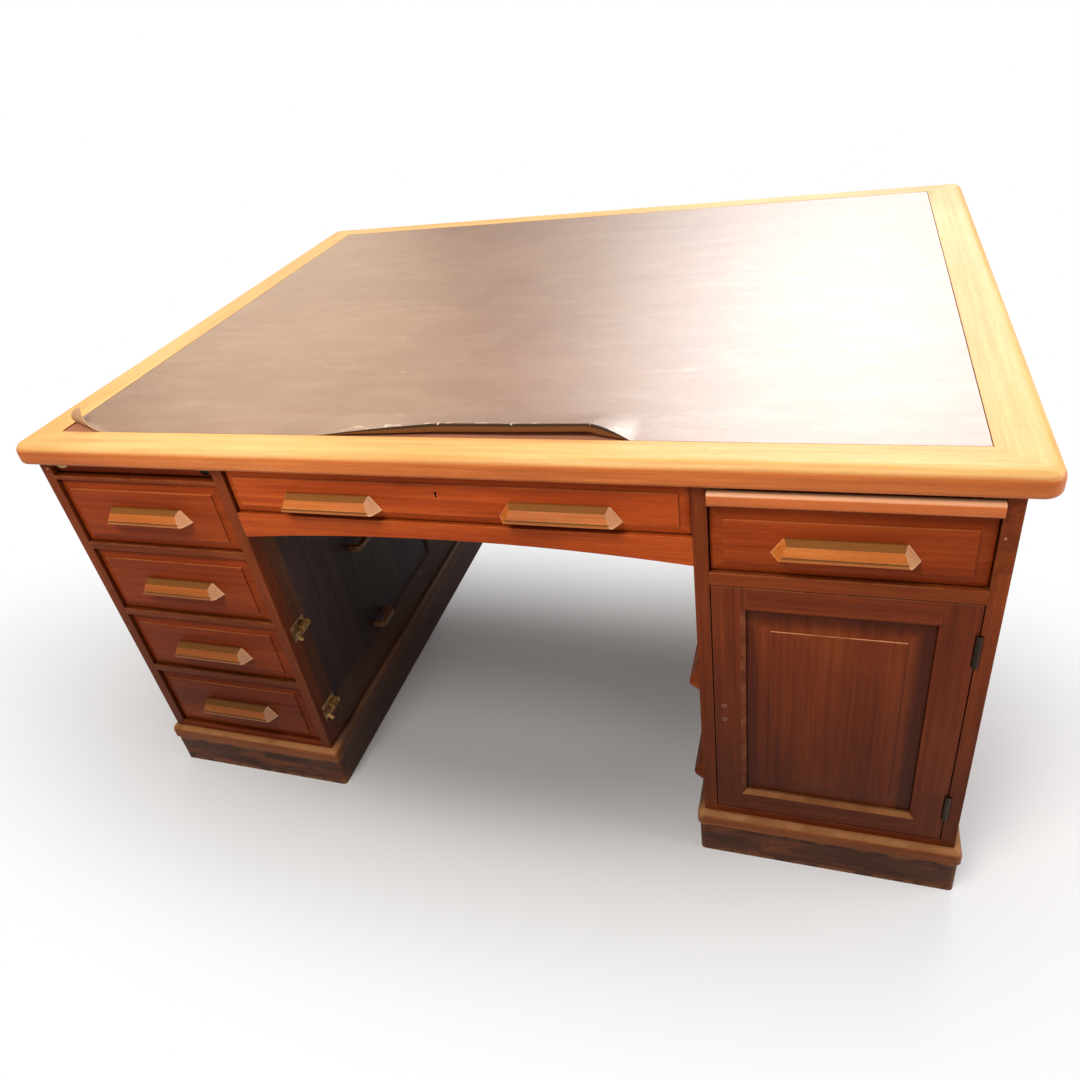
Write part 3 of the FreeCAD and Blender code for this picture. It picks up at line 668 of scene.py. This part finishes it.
# Wear with painted light: ledges that look up, and on the doors those that look right, are made paler
drawer_ledges = worn_and_lit_ledges(strength=0.75, worn_and_lit=(210, 128, 74))
side_panel_ledges = worn_and_lit_ledges(strength=0.6, worn_and_lit=(112, 88, 72))
door_ledges = worn_and_lit_ledges(strength=0.8, worn_and_lit=(206, 136, 78))
door_sides = worn_and_lit_sides(strength=0.4, worn_and_lit=(190, 118, 74))
door_panel_ledges = worn_and_lit_ledges(strength=0.9, worn_and_lit=(214, 146, 104))
moulding_ledges = worn_and_lit_ledges(strength=0.75, worn_and_lit=(228, 156, 92))
border_grain = two_way("x", "y", border_sides)
slide_grain = one_way("x", (4, 1, 6))
plinth_grain = two_way("x", "y", plinth_sides)
side_grain = two_way("z", "y", side_rails)

dress(wood_finish("drawer_wood", MAHOGANY, one_way("x"), LINING_WOOD, one_way("y"), behind_front,
                  marks=[drawer_ledges]),
      *[d for d in drawers if "centre" not in d])
dress(wood_finish("centre_drawer_wood", LIT_CENTRE_WOOD, one_way("x"), LINING_WOOD, one_way("y"), behind_front,
                  marks=[drawer_ledges]),
      *[d for d in drawers if "centre" in d])
dress(wood_finish("apron_wood", LIT_CENTRE_WOOD, one_way("x", (3, 4, 2))), "front_apron", "rear_apron")
dress(wood_finish("rail_wood", FRAME_WOOD, one_way("x", (2, 5, 1))), "drawer_rails")
dress(wood_finish("bright_slide_wood", LIT_SLIDE_WOOD, slide_grain, MAHOGANY, slide_grain, slide_board,
                  last_marks=[painted_lip_highlight]),
      "front_right_slide", "rear_left_slide")
dress(wood_finish("slide_wood", MAHOGANY, slide_grain, marks=[chipped]),
      "front_left_slide", "rear_right_slide")
dress(wood_finish("outer_side_wood", FRAME_WOOD, side_grain, marks=[nicked]),
      "left_outer_frame", "right_outer_frame")
dress(wood_finish("kneehole_side_wood", FRAME_WOOD, one_way("z"), KNEE_SHADED_WOOD, side_grain, under_the_top,
                  marks=[nicked]),
      "left_kneehole_frame", "right_kneehole_frame")
dress(wood_finish("side_panel_wood", FRAME_WOOD, one_way("z", (1, 2, 8)), KNEE_SHADED_PANEL, one_way("z"),
                  kneehole_panels, marks=[side_panel_ledges]),
      "left_side_panels", "right_side_panels")
dress(wood_finish("door_frame_wood", DOOR_WOOD, two_way("x", "z", door_stiles),
                  marks=[door_ledges, door_sides, handle_rims]),
      "front_right_door_frame", "rear_left_door_frame")
dress(wood_finish("door_panel_wood", DOOR_WOOD, one_way("z", (6, 3, 2)), marks=[polish_and_painted_shadow],
                  last_marks=[door_panel_ledges]),
      "front_right_door_panel", "rear_left_door_panel")
dress(wood_finish("border_wood", BORDER_EDGE, border_grain, BORDER_TOP_BLEACHED_AND_LIT, border_grain, upper_faces),
      "top_border")
dress(wood_finish("pull_wood", PULL_WOOD, one_way("x", (9, 2, 4)), edge_reach=PULL_EDGE_REACH,
                  marks=[dusty_tops, rubbed_and_glinting_ends], dull=top_facets),
      *pulls)
dress(wood_finish("grip_wood", FRAME_WOOD, one_way("y")), "kneehole_grips")
dress(wood_finish("loop_wood", LOOP_WOOD, one_way("y")), "kneehole_loops")
dress(wood_finish("moulding_wood", MOULDING_WOOD, plinth_grain, edge_reach=PLINTH_EDGE_REACH,
                  marks=[moulding_ledges, nicked, painted_kneehole_shade]),
      "plinth_mouldings")
dress(wood_finish("plinth_wood", PLINTH_WOOD, plinth_grain, edge_reach=PLINTH_EDGE_REACH,
                  marks=[scuffed, kicked_edges, painted_kneehole_shade]),
      "left_plinth", "right_plinth")
dress(wood_finish("lining_wood", LINING_WOOD, one_way("y", (3, 8, 1))), "drawer_runners", "centre_runners")
dress(wood_finish("floor_board_wood", MAHOGANY, one_way("x", (7, 7, 2)), LINING_WOOD, one_way("y"),
                  behind_front),
      "pedestal_inner_boards")
dress(wood_finish("under_leather_wood", UNDER_WOOD, one_way("x", (8, 1, 3))), "top_panel")

# Brass: waves a metre of its tarnish, how far rubbing and dirt reach, its bumps and rounded edges, in metres
TARNISH_WAVES = (60, 60, 60)
TARNISH_RANGE = (0.35, 0.7)
BRASS_RUB_REACH = 0.0015
BRASS_RUB_RANGE = (0.1, 0.6)
BRASS_DIRT_REACH = 0.006
BRASS_DIRT_RANGE = (0.3, 0.95)
BRASS_METAL = 0.75
BRASS_ROUGHNESS = (0.28, 0.5)
BRASS_BUMPS = 0.0002
BRASS_ROUNDING = 0.0004


def brass_finish(name, clean, tarnished, bare):
    """Old brass, dark in its hollows and bright where it is rubbed."""
    finish = Finish(name)
    cloud = finish.noise(TARNISH_WAVES, detail=4, roughness=0.65)
    colour = finish.blend(finish.ramp(cloud, *TARNISH_RANGE), paint(*clean), paint(*tarnished))
    rubbed = finish.ramp(finish.edges(BRASS_RUB_REACH), *BRASS_RUB_RANGE)
    colour = finish.over(colour, rubbed, strength=1.0, shade=bare)
    hollows = finish.ramp(finish.corners(BRASS_DIRT_REACH), *BRASS_DIRT_RANGE)
    colour = finish.over(colour, hollows, strength=1.0, shade=(30, 20, 12))
    rough = finish.between(cloud, *BRASS_ROUGHNESS)
    finish.set(Base_Color=colour, Metallic=BRASS_METAL, Roughness=rough)
    finish.relief(cloud, BRASS_BUMPS, strength=0.3, rounding=BRASS_ROUNDING)
    return finish.material


brass = brass_finish("old_brass", clean=(186, 142, 88), tarnished=(98, 66, 38), bare=(250, 226, 172))
dark_brass = brass_finish("dark_brass", clean=(54, 36, 22), tarnished=(36, 24, 15), bare=(104, 74, 46))
dress(brass, "barrel_bolts", "lower_bolt_rod", "upper_bolt_rod", "front_centre_lock", "rear_centre_lock")
dress(dark_brass, "carcass_hinge_leaves", "front_right_door_hinges", "rear_left_door_hinges")


# Slotted screws of the bolts, the hinges and the pulls, in metres
SCREW_RADIUS = 0.0022
SCREW_PROUD = 0.0003
SCREW_SUNK = 0.0002
SCREW_SLOT = 0.0008
SCREW_ARC_POINTS = 9
SCREW_TURN = math.radians(52)
BOLT_PLATE_HEIGHT = 0.034
BOLT_PLATE_THICK = 0.0015
BOLT_SCREW_INSET = 0.0055
HINGE_LENGTH = 0.052
HINGE_GAP = 0.0015
HINGE_SCREW_INSET = 0.0058
HINGE_SCREW_SHARES = (0.16, 0.5, 0.84)
PULL_LENGTH = 0.176
PULL_SCREW_SHARES = (0.25, 0.75)
UP = Vector((0, 0, 1))


def screw_head(place, out, turn):
    """Points and faces of a slotted head on an upright face that looks along out, as two half rounds."""
    aside = UP.cross(out)
    tip = SCREW_RADIUS - SCREW_PROUD
    rings = ((-SCREW_SUNK, SCREW_RADIUS), (SCREW_PROUD / 2, SCREW_RADIUS), (SCREW_PROUD, tip))
    count = SCREW_ARC_POINTS
    points = []
    faces = []
    for half in (0, math.pi):
        first = len(points)
        for rise, radius in rings:
            start = math.asin(SCREW_SLOT / 2 / radius)
            for k in range(count):
                angle = turn + half + start + (math.pi - 2 * start) * k / (count - 1)
                points.append(place + out * rise + radius * (math.cos(angle) * aside + math.sin(angle) * UP))
        for ring in range(first, first + (len(rings) - 1) * count, count):
            for k in range(count):
                a = ring + k
                b = ring + (k + 1) % count
                faces.append((a, b, b + count, a + count))
        faces.append(tuple(reversed(range(first, first + count))))
        faces.append(tuple(range(len(points) - count, len(points))))
    return points, faces


def add_screws(name, body, heads, material):
    """All the screws of a fitting as one piece: heads holds their places and the ways that they look."""
    points = []
    faces = []
    for k, (place, out) in enumerate(heads):
        head_points, head_faces = screw_head(place, out, SCREW_TURN * k)
        faces += [tuple(len(points) + i for i in face) for face in head_faces]
        points += head_points
    mesh = bpy.data.meshes.new(name)
    mesh.from_pydata(points, [], faces)
    mesh.materials.append(material)
    screws = bpy.data.objects.new(name, mesh)
    bpy.context.scene.collection.objects.link(screws)
    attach(screws, body)


def bolt_heads():
    """Screws in the corners of the two bolts' plates."""
    low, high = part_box("barrel_bolts")
    heads = []
    for foot in (low.z, high.z - BOLT_PLATE_HEIGHT):
        for y in (low.y + BOLT_SCREW_INSET, high.y - BOLT_SCREW_INSET):
            for z in (foot + BOLT_SCREW_INSET, foot + BOLT_PLATE_HEIGHT - BOLT_SCREW_INSET):
                heads.append((Vector((low.x + BOLT_PLATE_THICK, y, z)), Vector((1, 0, 0))))
    return heads


def hinge_heads(side, leaf):
    """Screws of a door's hinges: side is 1 at the front, -1 at the rear, leaf 1 on the door, -1 beside it."""
    low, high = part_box("front_right_door_hinges")
    x = (low.x + high.x - leaf * HINGE_GAP) / 2
    y = high.y - HINGE_SCREW_INSET
    heads = []
    for foot in (low.z, high.z - HINGE_LENGTH):
        for share in HINGE_SCREW_SHARES:
            place = Vector((side * x, side * y, foot + share * HINGE_LENGTH))
            heads.append((place, Vector((side * leaf, 0, 0))))
    return heads


def pull_heads(node):
    """Screws of a drawer's pulls, whose heads are on the inner face of the drawer's front."""
    low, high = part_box(node)
    side = math.copysign(1, low.y)
    heads = []
    starts = [low.x]
    if high.x - low.x > 2 * PULL_LENGTH:
        starts.append(high.x - PULL_LENGTH)
    for start in starts:
        for share in PULL_SCREW_SHARES:
            place = Vector((start + share * PULL_LENGTH, side * drawer_front_y, (low.z + high.z) / 2))
            heads.append((place, Vector((0, -side, 0))))
    return heads


def add_all_screws():
    """The screws of the bolts, the hinges and the pulls, on the bodies that carry them."""
    add_screws("bolt_screws", "carcass", bolt_heads(), brass)
    add_screws("carcass_hinge_screws", "carcass", hinge_heads(1, -1) + hinge_heads(-1, -1), dark_brass)
    add_screws("front_right_door_hinge_screws", "front_right_door", hinge_heads(1, 1), dark_brass)
    add_screws("rear_left_door_hinge_screws", "rear_left_door", hinge_heads(-1, 1), dark_brass)
    for pull, drawer in zip(pulls, drawers):
        add_screws(pull + "_screws", drawer, pull_heads(pull), brass)


# Leather lining: where its front edge has come up and how high, and its front left corner, in metres
LEATHER_THICK = 0.0022
LEATHER_SEAT = 0.0001
LIFTED_EDGE = ((-0.194, 0), (-0.003, 0.0165), (0.108, 0.0175), (0.220, 0.0195), (0.276, 0))
LIFT_REACH = 0.08
LIFT_CURVE = 1.5
LIFT_DRAW_IN = 0.12
CURL_REACH = (0.1, 0.042)
CURL_TURN = 3.4
HEM = 0.02
HEM_TURN = 1.4
HEM_LIFT = 0.016
LEAST_HEM = 0.0008

# The sheet's rows of points, counted from its front edge, and the distances between its columns
HEM_ROWS = 6
CREASE_SHADE_ROWS = 3
LEATHER_ROWS = 60
ROW_CROWDING = 1.9
LEATHER_COLUMN = 0.012
CORNER_COLUMN = 0.003
SHARP_EDGE = math.radians(40)

# Places of the materials that the sheet has after its upper face's
BACK_FACES = 1
CREASE_SHADE_FACES = 2
HEM_FACES = 3

# The leather's surface: waves a metre of its marks, its pebbles, and where its edge is frayed and cracked
CLOUD_WAVES = (4, 4, 4)
CLOUD_RANGE = (0.2, 0.8)
SMUDGE_WAVES = (7, 26, 1)
SMUDGE_SHIFT = (2, 3, 1)
SMUDGE_RANGE = (0.4, 0.75)
SMUDGE_SHEEN = 0.04
SCRATCH_WAVES = (14, 90, 1)
SCRATCH_SHIFT = (1, 1, 1)
SCRATCH_RANGE = (0.66, 0.72)
FRAY_WAVES = (70, 60, 40)
FRAY_RANGE = (0.5, 0.62)
LEATHER_ROUGHNESS = (0.36, 0.46)
NAP_WAVES = (300, 300, 300)
PEBBLES_A_METRE = 520.0
PEBBLE_HEIGHT = 0.0004
NAP_HEIGHT = 0.0005
LEATHER_ROUNDING = 0.0008
CUT_ROUNDING = 0.0004
FRAYED_HEIGHTS = (0.001, 0.005)
FRAYED_STRIP = (0.009, 0.004)
CRACK_RADII = (0.003, 0.008, 0.008)


def edge_lift(x):
    """How high the front edge stands at a place along it."""
    places = [p for p, _ in LIFTED_EDGE]
    after = bisect.bisect_right(places, x)
    if after in (0, len(places)):
        return 0.0
    (x0, h0), (x1, h1) = LIFTED_EDGE[after - 1:after + 1]
    return h0 + (h1 - h0) * (x - x0) / (x1 - x0)


def cracks(finish, colour):
    """Pale nicks where the lifted edge has cracked."""
    for x, _ in LIFTED_EDGE[1:-1]:
        place = (x, leather_low.y + HEM, leather_high.z + edge_lift(x))
        nick = near(finish, place, CRACK_RADII)
        colour = finish.over(colour, nick, strength=1.0, shade=(232, 208, 180))
    return colour


def leather_finish():
    """Worn brown desk leather with pebbled grain, smudges, scratches and a dull sheen."""
    finish = Finish("desk_leather")
    cloud = finish.noise(CLOUD_WAVES, detail=5, roughness=0.6, distortion=0.4)
    colour = finish.blend(finish.ramp(cloud, *CLOUD_RANGE), paint(136, 98, 73), paint(154, 115, 88))
    smears = finish.noise(SMUDGE_WAVES, SMUDGE_SHIFT, detail=6, roughness=0.75, distortion=0.6)
    smudges = finish.ramp(smears, *SMUDGE_RANGE)
    colour = finish.over(colour, smudges, strength=0.3, shade=(176, 148, 124))
    streaks = finish.noise(SCRATCH_WAVES, SCRATCH_SHIFT, detail=4, roughness=0.6, distortion=2.4)
    scratches = finish.ramp(streaks, *SCRATCH_RANGE)
    colour = finish.over(colour, scratches, strength=0.35, shade=(214, 192, 170))
    lifted = finish.ramp(finish.math("SUBTRACT", finish.z, leather_high.z), *FRAYED_HEIGHTS)
    at_edge = finish.ramp(finish.math("SUBTRACT", finish.y, leather_low.y + HEM), *FRAYED_STRIP)
    frayed = finish.ramp(finish.noise(FRAY_WAVES, detail=4, roughness=0.7), *FRAY_RANGE)
    colour = finish.over(colour, finish.both(lifted, at_edge), strength=frayed, shade=(230, 206, 178))
    colour = cracks(finish, colour)
    smoother = finish.both(smudges, SMUDGE_SHEEN)
    rough = finish.math("SUBTRACT", finish.between(cloud, *LEATHER_ROUGHNESS), smoother)
    finish.set(Base_Color=colour, Roughness=rough, Specular_IOR_Level=1.0)
    finish.set(Coat_Weight=0.5, Coat_Roughness=0.4)
    pebbles = finish.node("ShaderNodeTexVoronoi", {"Vector": finish.place, "Scale": PEBBLES_A_METRE})
    finish.relief(pebbles.outputs["Distance"], PEBBLE_HEIGHT, strength=0.4, rounding=LEATHER_ROUNDING)
    return finish.material


def raw_leather_finish(name, dark, light):
    """Leather without its grain: the underside and cut edge, a dark strip of painted shade along the crease
    of the turned-down edge, and the hem, darker than the upper face as painted shade.
    """
    finish = Finish(name)
    nap = finish.noise(NAP_WAVES, detail=3, roughness=0.7)
    colour = cracks(finish, finish.blend(nap, paint(*dark), paint(*light)))
    finish.set(Base_Color=colour, Roughness=0.85, Specular_IOR_Level=0.08)
    finish.relief(nap, NAP_HEIGHT, strength=0.5, rounding=CUT_ROUNDING)
    return finish.material


def bent(distance, reach, turn):
    """At a distance along a strip that is rolled evenly: how far on, how far off and at what slope it is."""
    if distance <= 0 or turn == 0:
        return distance, 0.0, 0.0
    radius = reach / turn
    slope = distance / radius
    return radius * math.sin(slope), radius * (1 - math.cos(slope)), slope


def hem_width(x):
    """Width of the strip that is turned down at a place along the front edge."""
    return max(LEAST_HEM, HEM * min(1.0, edge_lift(x) / HEM_LIFT))


def leather_row(x, row, depth):
    """Distance from the front edge of a row of points: first the hem's rows, then the others."""
    hem = hem_width(x)
    if row <= HEM_ROWS:
        return hem * row / HEM_ROWS
    return hem + (depth - hem) * ((row - HEM_ROWS) / LEATHER_ROWS) ** ROW_CROWDING


def leather_point(x, from_front, below=0.0):
    """A point of the leather at a depth below its upper face, lifted, hemmed and curled at the front."""
    lift = edge_lift(x)
    hem = hem_width(x)
    rise = lift * max(0.0, 1 - from_front / LIFT_REACH) ** LIFT_CURVE
    hem_on, hem_drop, hem_slope = bent(hem - from_front, hem, HEM_TURN if lift else 0)
    forward = hem - from_front - hem_on + below * math.sin(hem_slope)
    reach_x, reach_y = CURL_REACH
    across = Vector((reach_y, reach_x)).normalized()
    past_fold = reach_x * across.x - (x - leather_low.x) * across.x - from_front * across.y
    curl_on, curl_rise, curl_slope = bent(past_fold, reach_x * across.x, CURL_TURN)
    inward = past_fold - curl_on - below * math.sin(curl_slope)
    level = leather_low.z + LEATHER_THICK + LEATHER_SEAT + rise + curl_rise - hem_drop
    level -= below * math.cos(curl_slope) * math.cos(hem_slope)
    y = leather_low.y + from_front + LIFT_DRAW_IN * rise + forward
    return Vector((x + inward * across.x, y + inward * across.y, level))


def steps(low, high, length):
    """Places from low to high, about a length apart."""
    count = round((high - low) / length)
    return [low + (high - low) * i / count for i in range(count + 1)]


def add_leather():
    """The leather as a thin sheet with a lifted front edge, laid in the top's recess."""
    depth = leather_high.y - leather_low.y
    corner = leather_low.x + CURL_REACH[0]
    columns = set(steps(leather_low.x, corner, CORNER_COLUMN) + steps(corner, leather_high.x, LEATHER_COLUMN))
    columns.update(p for p, _ in LIFTED_EDGE)
    columns = sorted(columns)
    rows = range(HEM_ROWS + LEATHER_ROWS + 1)
    flat = [(x, leather_row(x, row, depth)) for row in rows for x in columns]
    upper = [leather_point(x, y) for x, y in flat]
    points = upper + [leather_point(x, y, LEATHER_THICK) for x, y in flat]
    across = len(columns)
    under = len(upper)
    faces = []
    for j in range(len(rows) - 1):
        for i in range(across - 1):
            a = j * across + i
            faces.append((a, a + 1, a + 1 + across, a + across))
    top_count = len(faces)
    faces += [tuple(under + v for v in reversed(f)) for f in faces]
    rim = list(range(across))
    rim += [j * across + across - 1 for j in range(1, len(rows))]
    rim += [(len(rows) - 1) * across + i for i in range(across - 2, -1, -1)]
    rim += [j * across for j in range(len(rows) - 2, 0, -1)]
    for a, b in zip(rim, rim[1:] + rim[:1]):
        faces.append((a, under + a, under + b, b))
    mesh = bpy.data.meshes.new("leather_lining")
    mesh.from_pydata(points, [], faces)
    mesh.materials.append(leather_finish())
    mesh.materials.append(raw_leather_finish("leather_back", dark=(164, 122, 88), light=(204, 166, 128)))
    # Painted shade: a dark strip along the crease of the turned-down edge, and a hem darker than the upper
    # face
    mesh.materials.append(raw_leather_finish("leather_crease_shade", dark=(44, 29, 18), light=(70, 48, 30)))
    mesh.materials.append(raw_leather_finish("leather_hem", dark=(84, 47, 21), light=(126, 76, 36)))
    for k, polygon in enumerate(mesh.polygons):
        polygon.use_smooth = True
        row, column = divmod(k, across - 1)
        if k >= top_count:
            polygon.material_index = BACK_FACES
        elif row < HEM_ROWS and edge_lift((columns[column] + columns[column + 1]) / 2) > 0:
            polygon.material_index = CREASE_SHADE_FACES if row >= HEM_ROWS - CREASE_SHADE_ROWS else HEM_FACES
    mesh.set_sharp_from_angle(angle=SHARP_EDGE)
    sheet = bpy.data.objects.new("leather_lining", mesh)
    bpy.context.scene.collection.objects.link(sheet)
    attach(sheet, "carcass")
    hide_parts("top_leather")


def area_light(name, place, target, size, power, colour):
    """A round lamp that faces a target."""
    data = bpy.data.lights.new(name, "AREA")
    data.shape = "DISK"
    data.size = size
    data.energy = power
    data.color = colour
    light = bpy.data.objects.new(name, data)
    light.location = place
    light.rotation_euler = (Vector(target) - Vector(place)).to_track_quat("-Z", "Y").to_euler()
    bpy.context.scene.collection.objects.link(light)


def seen_directly(tree):
    """1 for the rays from the camera, which show the background itself."""
    return tree.nodes.new("ShaderNodeLightPath").outputs["Is Camera Ray"]


# The floor has a painted shadow, darkest before the kneehole, and fades into white round it, in metres and
# shares of the radii
FLOOR_REACH = 25
FLOOR_SHADE_PLACE = (-0.1, -0.34, 0)
FLOOR_SHADE_RADII = (1.1, 0.43, 1)
FLOOR_SHADE_RANGE = (0.85, 0.3)
FLOOR_FADE_RANGE = (0.5, 1.7)
FLOOR_PALE = (0.66, 0.66, 0.67, 1)
FLOOR_DARK = (0.36, 0.36, 0.37, 1)
FLOOR_ROUGHNESS = 0.75

# Light from all round, and the white that the camera sees behind the floor
AMBIENT_COLOUR = (0.98, 0.98, 1, 1)
AMBIENT_STRENGTH = 0.3
WHITE = (1, 1, 1, 1)


def add_lights():
    """A broad window light from behind, a warm one at its left, and three that fill the front."""
    area_light("window_light", place=(0.65, 3.6, 3.45), target=(0.3, 0.0, 0.75), size=3.2, power=178,
               colour=(1, 1, 1))
    area_light("warm_light", place=(-3.2, 3.4, 2.3), target=(-0.3, 0.0, 0.75), size=2.6, power=25,
               colour=(1, 0.8, 0.58))
    area_light("key_light", place=(-0.3, -1.8, 2.9), target=(-0.1, -0.4, 0.6), size=1.2, power=60,
               colour=(1, 0.96, 0.9))
    area_light("side_light", place=(2.7, -0.3, 1.3), target=(0.2, -0.5, 0.7), size=1.7, power=38,
               colour=(1, 0.98, 0.95))
    area_light("front_light", place=(-0.9, -3.2, 2.0), target=(-0.1, -0.5, 0.5), size=2.0, power=14,
               colour=(1, 0.96, 0.9))


def add_surroundings():
    """Weak light from all round, seen as white by the camera."""
    world = bpy.data.worlds.new("studio")
    bpy.context.scene.world = world
    world.use_nodes = True
    tree = world.node_tree
    ambient = tree.nodes["Background"]
    ambient.inputs["Color"].default_value = AMBIENT_COLOUR
    ambient.inputs["Strength"].default_value = AMBIENT_STRENGTH
    white = tree.nodes.new("ShaderNodeBackground")
    white.inputs["Color"].default_value = WHITE
    mixed = tree.nodes.new("ShaderNodeMixShader")
    tree.links.new(seen_directly(tree), mixed.inputs[0])
    tree.links.new(ambient.outputs[0], mixed.inputs[1])
    tree.links.new(white.outputs[0], mixed.inputs[2])
    tree.links.new(mixed.outputs[0], tree.nodes["World Output"].inputs[0])


def add_floor():
    """A pale floor with a painted shadow before the kneehole, that fades into white away from the desk."""
    mesh = bpy.data.meshes.new("floor")
    corners = [(x * FLOOR_REACH, y * FLOOR_REACH, 0) for x, y in ((-1, -1), (1, -1), (1, 1), (-1, 1))]
    mesh.from_pydata(corners, [], [(0, 1, 2, 3)])
    floor = bpy.data.objects.new("floor", mesh)
    bpy.context.scene.collection.objects.link(floor)
    finish = Finish("floor_paint")
    distance = distance_from(finish, FLOOR_SHADE_PLACE, FLOOR_SHADE_RADII)
    shade = finish.ramp(distance, *FLOOR_SHADE_RANGE)
    finish.set(Base_Color=finish.blend(shade, FLOOR_PALE, FLOOR_DARK), Roughness=FLOOR_ROUGHNESS)
    glow = finish.node("ShaderNodeEmission", {"Color": WHITE, "Strength": 1.0}).outputs[0]
    share = finish.both(finish.ramp(distance, *FLOOR_FADE_RANGE), seen_directly(finish.tree))
    mixed = finish.node("ShaderNodeMixShader", {0: share, 1: finish.shader.outputs[0], 2: glow})
    finish.tree.links.new(mixed.outputs[0], finish.tree.nodes["Material Output"].inputs["Surface"])
    mesh.materials.append(finish.material)


add_camera()
add_all_screws()
add_leather()
add_lights()
add_surroundings()
add_floor()
bpy.context.scene.view_settings.view_transform = "Standard"
